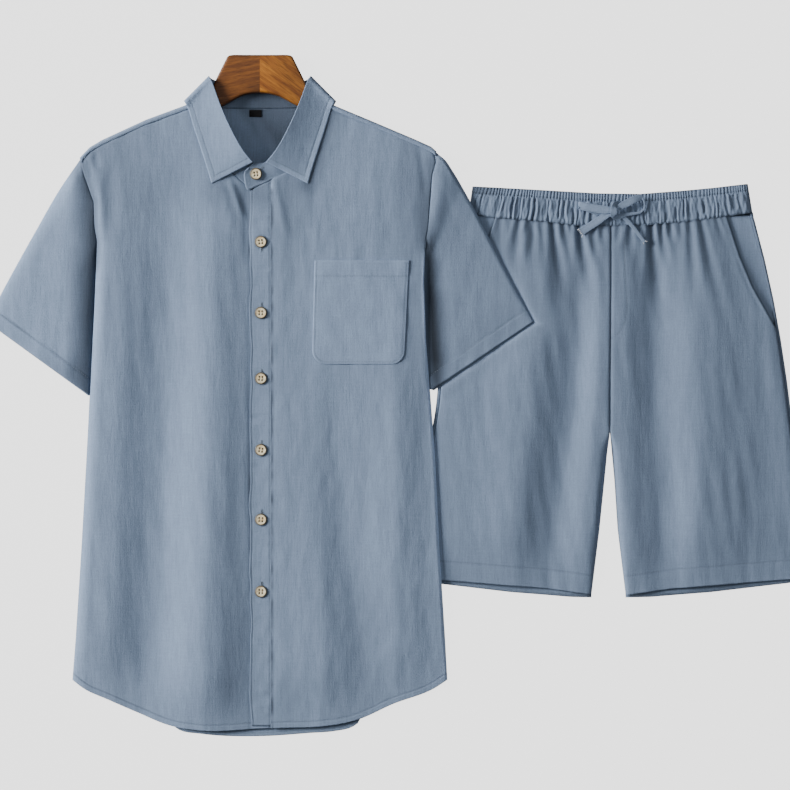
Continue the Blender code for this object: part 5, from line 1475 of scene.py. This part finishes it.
def panel_plan(hand, front, columns, steps):
    """Plan of a leg's front or back panel, from the centre outwards and from the waist down."""
    table = np.array(SHORTS_ROWS)
    inner_ups, outer_ups = (np.interp(steps, np.arange(len(table)), table[:, k]) for k in (0, 1))
    rows = (inner_ups[0] - inner_ups) / (inner_ups[0] - inner_ups[-1])
    hem_column = 1 if front else 2
    inner_ups[-1] = SHORTS_HEM[0][hem_column]
    inner = np.stack([inseam(inner_ups, hand), inner_ups], axis=-1)
    outer_out = shorts_edge(outer_ups, hand) - (SIDE_SEAM_IN if front else 0.0)
    if front:
        opening = at_level(POCKET_OPENING, outer_ups, 1, 0)
        outer_out = np.where(outer_ups > POCKET_OPENING[-1][1], opening, outer_out)
    outer = np.stack([hand * outer_out, outer_ups], axis=-1)
    if not front:
        outer[0] = (hand * WAIST_HALF, waist(hand * WAIST_HALF) - SEAM)
    top_across = inner[0, 0] + columns * (outer[0, 0] - inner[0, 0])
    top = np.stack([top_across, waist(top_across)], axis=-1)
    low_across = inner[-1, 0] + columns * (outer[-1, 0] - inner[-1, 0])
    bottom = np.stack([low_across, at_level(SHORTS_HEM, np.abs(low_across), 0, hem_column)], axis=-1)
    inner[0], outer[0], inner[-1], outer[-1] = top[0], top[-1], bottom[0], bottom[-1]
    return patch(top, bottom, inner, outer, columns, rows)


def shorts_front(name, hand):
    """A leg's front: hanging folds, gathers under the waist seam, a sewn centre seam and a hem."""
    plan = panel_plan(hand, True, evenly(98), stretches((0.0, 2.6, 9.6, 10.0), (70, 150, 22)))
    across, up = plan[..., 0], plan[..., 1]
    gathers = pleats(across, up)
    seam = np.abs(across - inseam(up, hand))
    closed = ease((up - CROTCH_UP + 6.0) / 16.0)
    gap = leg_hem_gap(across, up, 1)
    from_outer = np.linalg.norm(plan - plan[:, -1:], axis=-1)
    from_waist = waist(across) - up
    height = shorts_height(across, up) + gathers * ease((across * hand + 2.0) / 4.0)
    height = height + groove(seam, 1.7, 1.5) * closed + 0.8 * hem_relief(gap, LEG_HEM)
    height = height + groove(from_outer - OPENING_STITCH, 1.0, 0.35) * ease((up - 84.0) / 6.0)
    height = height + ease(from_outer / 14.0) * wrinkled(across, up, 101, 102, 38.0)
    shade = 0.92 * shade_beside_shirt(across, up) * painted_shade_spots(SHORTS_PAINTED_SHADE, across, up)
    shade = darkened(shade, (0.5 * closed, seam, 1.3), (0.22, gap - LEG_HEM, 1.0), (0.3, from_waist, 2.2))
    shade = shade * (1.0 - 0.16 * (1.0 - ease(from_waist / 110.0)))
    shade = shade * (1.0 - 0.35 * np.clip(-gathers / 2.2, 0.0, 1.0))
    fly = curve(FLY, evenly(40))
    if hand > 0:
        from_fly = line_distance(plan, fly)
        height = height + groove(from_fly, 1.0, 0.35)
        shade = darkened(shade, (0.16, from_fly, 1.1))
    grid = placed(SHORTS_X, plan, pressed(height, across, up))
    seams.append(crossing(grid[:, 1:-1], gap[:, 1:-1], LEG_HEM))
    seams.append(crossing(grid[:92], from_outer[:92], OPENING_STITCH, 1))
    if hand > 0:
        fly_across = np.interp(up[:120], fly[::-1, 1], fly[::-1, 0], left=-1e3, right=-1e3)
        seams.append(crossing(grid[:120], across[:120] - fly_across, 0.0, 1))
    cloth(name, *tucked(grid, plan, shade, 2.4, 1.1), "gathered", ["shorts_back_right", "shorts_back_left"])


def shorts_back(name, hand):
    """A leg's back: flat on the ground, with its side edge rolled up to the side seam."""
    plan = panel_plan(hand, False, evenly(40), stretches((0.0, 9.4, 10.0), (90, 20)))
    across, up = plan[..., 0], plan[..., 1]
    height = CLOTH_THICK + 0.4 + 0.5 * hem_relief(leg_hem_gap(across, up, 2), LEG_HEM)
    shade = 1.05 - 0.4 * ease((leg_hem_gap(across, up, 1) + 1.6) / 1.6)
    flat = placed(SHORTS_X, plan, height)
    rolled = np.repeat(flat[:, -1:], 4, axis=1)
    rolled[..., 0] += hand * np.array([0.35, 0.2, -1.4, -3.4])
    rolled[..., 2] = np.array([1.7, 2.6, 3.25, 3.1])
    grid = np.concatenate([flat, rolled], axis=1)
    uv_beyond = plan[:, -1:] + np.array([(hand * out, 0.0) for out in (1, 2, 4, 6)])
    uv = np.concatenate([plan, uv_beyond], axis=1)
    shade = np.concatenate([shade, np.tile([0.9, 1.0, 1.0, 0.7], (len(shade), 1))], axis=1)
    cloth(name, grid, uv, shade, "laid", [], material=CLOTH_BACK_SHADED, slot="cloth_back")


def pocket_facing(name, hand):
    """The cloth that shows in a slanted pocket opening, from just under the front to the side."""
    ups = np.linspace(226.0, 92.0, 60)[:, None]
    at_opening = at_level(POCKET_OPENING, ups, 1, 0)
    at_side = shorts_edge(ups) - SIDE_SEAM_IN
    start = at_opening - 8.0
    out = start + evenly(30) * (at_side - start)
    plan = np.stack([hand * out, np.broadcast_to(ups, out.shape)], axis=-1)
    front = pressed(shorts_height(plan[..., 0], plan[..., 1]), plan[..., 0], plan[..., 1])
    settled = 1.0 - ease((out - start) / np.maximum(at_side - start, 1.0))
    under = front - WALL * 1.5 - 1.4
    top = np.maximum(SEAT, np.minimum(SEAT + (front - SEAT) * 0.62 * settled, under))
    shade = 1.14 - 0.6 * (1.0 - ease((out - at_opening) / 3.5))
    cloth(name, placed(SHORTS_X, plan, top + 0.2), plan, shade, "laid",
          ["shorts_back_right", "shorts_back_left"])


def band_gathers(run, drop):
    """Valleys and ridges of the elastic band, with run along it and drop down it from 0 to 1: seeded
    folds that lean, each over its own part of the drop, and with a ridge beside it."""
    rng = np.random.default_rng(114)
    valleys, ridges = np.zeros((2, len(drop), len(run)))
    for k in range(BAND_GATHERS):
        place = (k + 0.5 + rng.uniform(-0.42, 0.42)) / BAND_GATHERS * FRILL_WIDTH
        lean = rng.normal(0.0, 1.6) + 5.0 * (1.0 - ease(place / 120.0))
        depth, wide = rng.uniform(0.6, 2.1), rng.uniform(0.9, 2.2)
        depth *= 1.0 - 0.55 * math.exp(-(((place - 172.0) / 38.0) ** 2))
        first = rng.choice([0.22, 0.3, 0.5], p=[0.6, 0.25, 0.15])
        last = rng.choice([1.1, 0.85], p=[0.75, 0.25])
        off = run - place - lean * (0.65 - drop) - 0.5 * np.sin(9.0 * drop + k)
        there = ease((drop - first + 0.06) / 0.12) * ease((last - drop + 0.06) / 0.2)
        valleys += depth * there * bell(off, wide)
        ridges += 0.45 * depth * there * bell(off - 2.0 * wide, 1.3 * wide)
    return valleys, ridges


def waistband():
    """The elastic casing. Above the stitch line stands a frill, a wave |sin|**0.9 of a coordinate
    that is warped by seeded wrinkles; below it lie the band's gathers."""
    u = evenly(744)
    drop = stretches((0.0, 0.3, 0.9, 1.0), (18, 20, 6))[:, None]
    top_across = -173.5 + u * FRILL_WIDTH
    low_across = -178.5 + u * BAND_WIDTH
    top_up, low_up = at_level(WAIST_TOP, top_across), waist(low_across) - 0.9
    across = top_across + drop * (low_across - top_across)
    up = top_up + drop * (low_up - top_up)
    plan = np.stack([across, up], axis=-1)
    run, fall = u * FRILL_WIDTH, drop * BAND_HEIGHT
    ends = roll(np.minimum(u, 1.0 - u) * FRILL_WIDTH / 9.0)
    base = np.interp(drop, (0.0, 0.24, 0.42, 0.75, 0.95, 1.0), (6.4, 7.6, 9.2, 9.6, 9.0, 8.4))
    valleys, ridges = band_gathers(run, drop)
    warp = 0.3 * ripples(run, fall, 112, 80.0, 160.0, 14)
    frill = np.abs(np.sin(math.pi * (FRILL_GATHERS * u + 1.4 * warp))) ** 0.9
    frill_size = 1.0 + 0.35 * ripples(run, 0.0, 115, 22.0, NO_WAVES, 12)
    in_band = ease((drop - 0.22) / 0.1)
    stitch, foot = bell(drop - 0.23, 0.03), bell(drop - 1.0, 0.05)
    wave = (1.0 - in_band) * 0.8 * frill_size * (frill - 0.6) + in_band * (ridges - valleys)
    wave = wave + 0.35 * in_band * ripples(run, fall, 116, 9.0, 40.0) - 0.7 * stitch - 0.9 * foot
    height = SEAT + (base + wave - SEAT) * ends
    hollow = (1.0 - in_band) * (1.0 - frill) * 0.5 + in_band * np.clip(valleys / 2.0, 0.0, 1.0)
    shade = 0.9 - 0.5 * hollow**1.5 - 0.2 * stitch - 0.3 * foot - 0.35 * bell(drop, 0.03)
    shade = shade * (1.0 - 0.34 * (1.0 - in_band) * (1.0 - ease((across + 152.0) / 30.0)))
    cloth("waistband_front", placed(SHORTS_X, plan, pressed(height, across, up)), plan, shade, "gathered",
          ["waistband_back"], thick=0.8)

    drop = np.linspace(0.0, 1.0, 24)[:, None]
    across = top_across[::4] + drop * (low_across - top_across)[::4]
    up = top_up[::4] + drop * (low_up - top_up)[::4]
    plan = np.stack([across, up], axis=-1)
    wave = 0.3 * np.abs(np.sin(math.pi * FRILL_GATHERS * u[::4])) * (1.0 - drop)
    cloth("waistband_back", placed(SHORTS_X, plan, 1.0 + wave), plan, 0.75, "gathered", [],
          material=CLOTH_BACK_SHADED, slot="cloth_back", thick=0.9)


# Drawstring

def flattened(wave, size):
    """Half a size times a sine or cosine to the power 0.4, which squares a circle into a flat tape."""
    return np.sign(wave) * np.abs(wave) ** 0.4 * size / 2


def tape(name, route, pinches):
    """A flat tape: its width is carried along the route without twist and leans back to level, and
    its section is a flat superellipse. It is pinched, and so thicker, where the bow is tied: at which
    parts of the length, and to what part of the width."""
    fine = curve(route, evenly(260)) + np.array([SHORTS_X, LAYOUT_UP, -0.4])
    tangent = np.gradient(fine, axis=0)
    tangent /= np.linalg.norm(tangent, axis=1, keepdims=True)
    level = np.stack([-tangent[:, 1], tangent[:, 0], np.zeros(len(fine))], axis=-1)
    aside = np.empty_like(level)
    carried = level[0]
    for k, (along, flat) in enumerate(zip(tangent, level)):
        carried = carried + 0.3 * flat * np.hypot(along[0], along[1]) * np.sign(flat @ carried)
        carried = carried - along * (carried @ along)
        carried = carried / np.linalg.norm(carried)
        aside[k] = carried
    normal = np.cross(tangent, aside)
    angle = np.linspace(0.0, 2.0 * math.pi, 24, endpoint=False)
    wide, thick = flattened(np.cos(angle), TAPE_WIDTH), flattened(np.sin(angle), TAPE_THICK)
    pinch = np.interp(evenly(len(fine)), *pinches)[:, None]
    grid = fine[:, None] + (wide * pinch)[..., None] * aside[:, None]
    grid = grid + (thick / np.sqrt(pinch))[..., None] * normal[:, None]
    shape = grid.shape[:2]
    length = lengths_along(fine)[1]
    uv = np.stack(np.broadcast_arrays(wide[None, :] * MM, length[:, None] * MM), axis=-1).reshape(-1, 2)
    shade = np.broadcast_to(1.0 - 0.18 * bell(np.abs(wide) / (TAPE_WIDTH / 2) - 0.72, 0.1), shape)
    thing = mesh_piece(name + "_tape", grid.reshape(-1, 3), capped(*shape, True), TAPE, uv, shade.reshape(-1))
    dress(thing, [name])


def tape_ends():
    """Pale thread that whips both free ends of the drawstring, with a few frayed ends."""
    rng = np.random.default_rng(17)
    parts = []
    for route, wide, knots in ((DRAWSTRING_LEFT, 4.4, 5), (DRAWSTRING_RIGHT, 1.9, 2)):
        end = np.array(route[-1]) + np.array([SHORTS_X, LAYOUT_UP, 0.3])
        along = np.array(route[-1]) - np.array(route[-2])
        along = along / np.linalg.norm(along)
        aside = np.array([-along[1], along[0], 0.0])
        for off in np.linspace(-wide, wide, knots):
            start = end + aside * off - along * 1.6
            reach = along * rng.uniform(2.0, 3.0) + aside * rng.normal(0.0, 0.5)
            parts.append(bar(start, start + reach, 0.42))
        for off in (-wide, wide):
            start = end + aside * off
            reach = along * rng.uniform(0.5, 2.0) + aside * rng.normal(np.sign(off), 0.6)
            parts.append(bar(start, start + reach, 0.3))
    bars("drawstring_end_threads", parts, PALE_THREAD)


# Camera, cords, then the rest

camera = bpy.data.objects.new("camera", bpy.data.cameras.new("camera"))
camera.location = CAMERA_PLACE
camera.data.lens = CAMERA_LENS
camera.data.sensor_width = 36.0
camera.data.clip_end = 50.0
bpy.context.scene.collection.objects.link(camera)
bpy.context.scene.camera = camera

tape("drawstring_right", DRAWSTRING_RIGHT, PINCHES_RIGHT)
tape("drawstring_left", DRAWSTRING_LEFT, PINCHES_LEFT)

shirt_back()
shirt_front("shirt_front_right", 1)
shirt_front("shirt_front_left", 2)
yoke()
sleeve("sleeve_right", 1)
sleeve("sleeve_left", 2)
collar_stand(collar_leaf())
placket()
pocket()
buttons()
tape_ends()
neck_label()
hanger_half("hanger_right", -1.0, HANGER_DARK)
hanger_half("hanger_left", 1.0, HANGER_LIGHT)
for leg, hand in (("right", -1.0), ("left", 1.0)):
    shorts_front(f"shorts_front_{leg}", hand)
    shorts_back(f"shorts_back_{leg}", hand)
    pocket_facing(f"pocket_facing_{leg}", hand)
waistband()
stitching("seam_stitches", seams)


# Floor and light

def floor():
    """A plain pale ground, lit from within so that it stays even."""
    made, tree, shader = tree_of("pale_floor")
    plug(tree, shader, [
        ("Base Color", (0.1, 0.1, 0.1, 1.0)),
        ("Roughness", 1.0),
        ("Specular IOR Level", 0.0),
        ("Emission Color", (1.0, 1.0, 1.0, 1.0)),
        ("Emission Strength", 2.35),
    ])
    corners = FLOOR_HALF * np.array([(-1.0, -1.0), (1.0, -1.0), (1.0, 1.0), (-1.0, 1.0)])
    points = np.column_stack([corners, np.full(4, FLOOR_LEVEL)])
    thing = mesh_piece("floor", points, [(0, 1, 2, 3)], made, smooth=False)
    thing.visible_diffuse = False
    thing.visible_glossy = False


def softbox(name, place, size, power):
    """A square studio light that faces the middle of the set."""
    light = bpy.data.lights.new(name, "AREA")
    light.size = size
    light.energy = power
    thing = bpy.data.objects.new(name, light)
    thing.location = place
    thing.rotation_mode = "QUATERNION"
    thing.rotation_quaternion = (-Vector(place)).to_track_quat("-Z", "Y")
    bpy.context.scene.collection.objects.link(thing)


floor()
softbox("key_light", (-3.45, 0.9, 1.55), 1.6, 285.0)
softbox("fill_light", (1.0, 1.5, 4.0), 2.5, 16.0)
world = bpy.data.worlds.new("studio")
bpy.context.scene.world = world
world.use_nodes = True
plug(world.node_tree, world.node_tree.nodes["Background"], [(0, (1.0, 1.0, 1.0, 1.0)), (1, 0.17)])
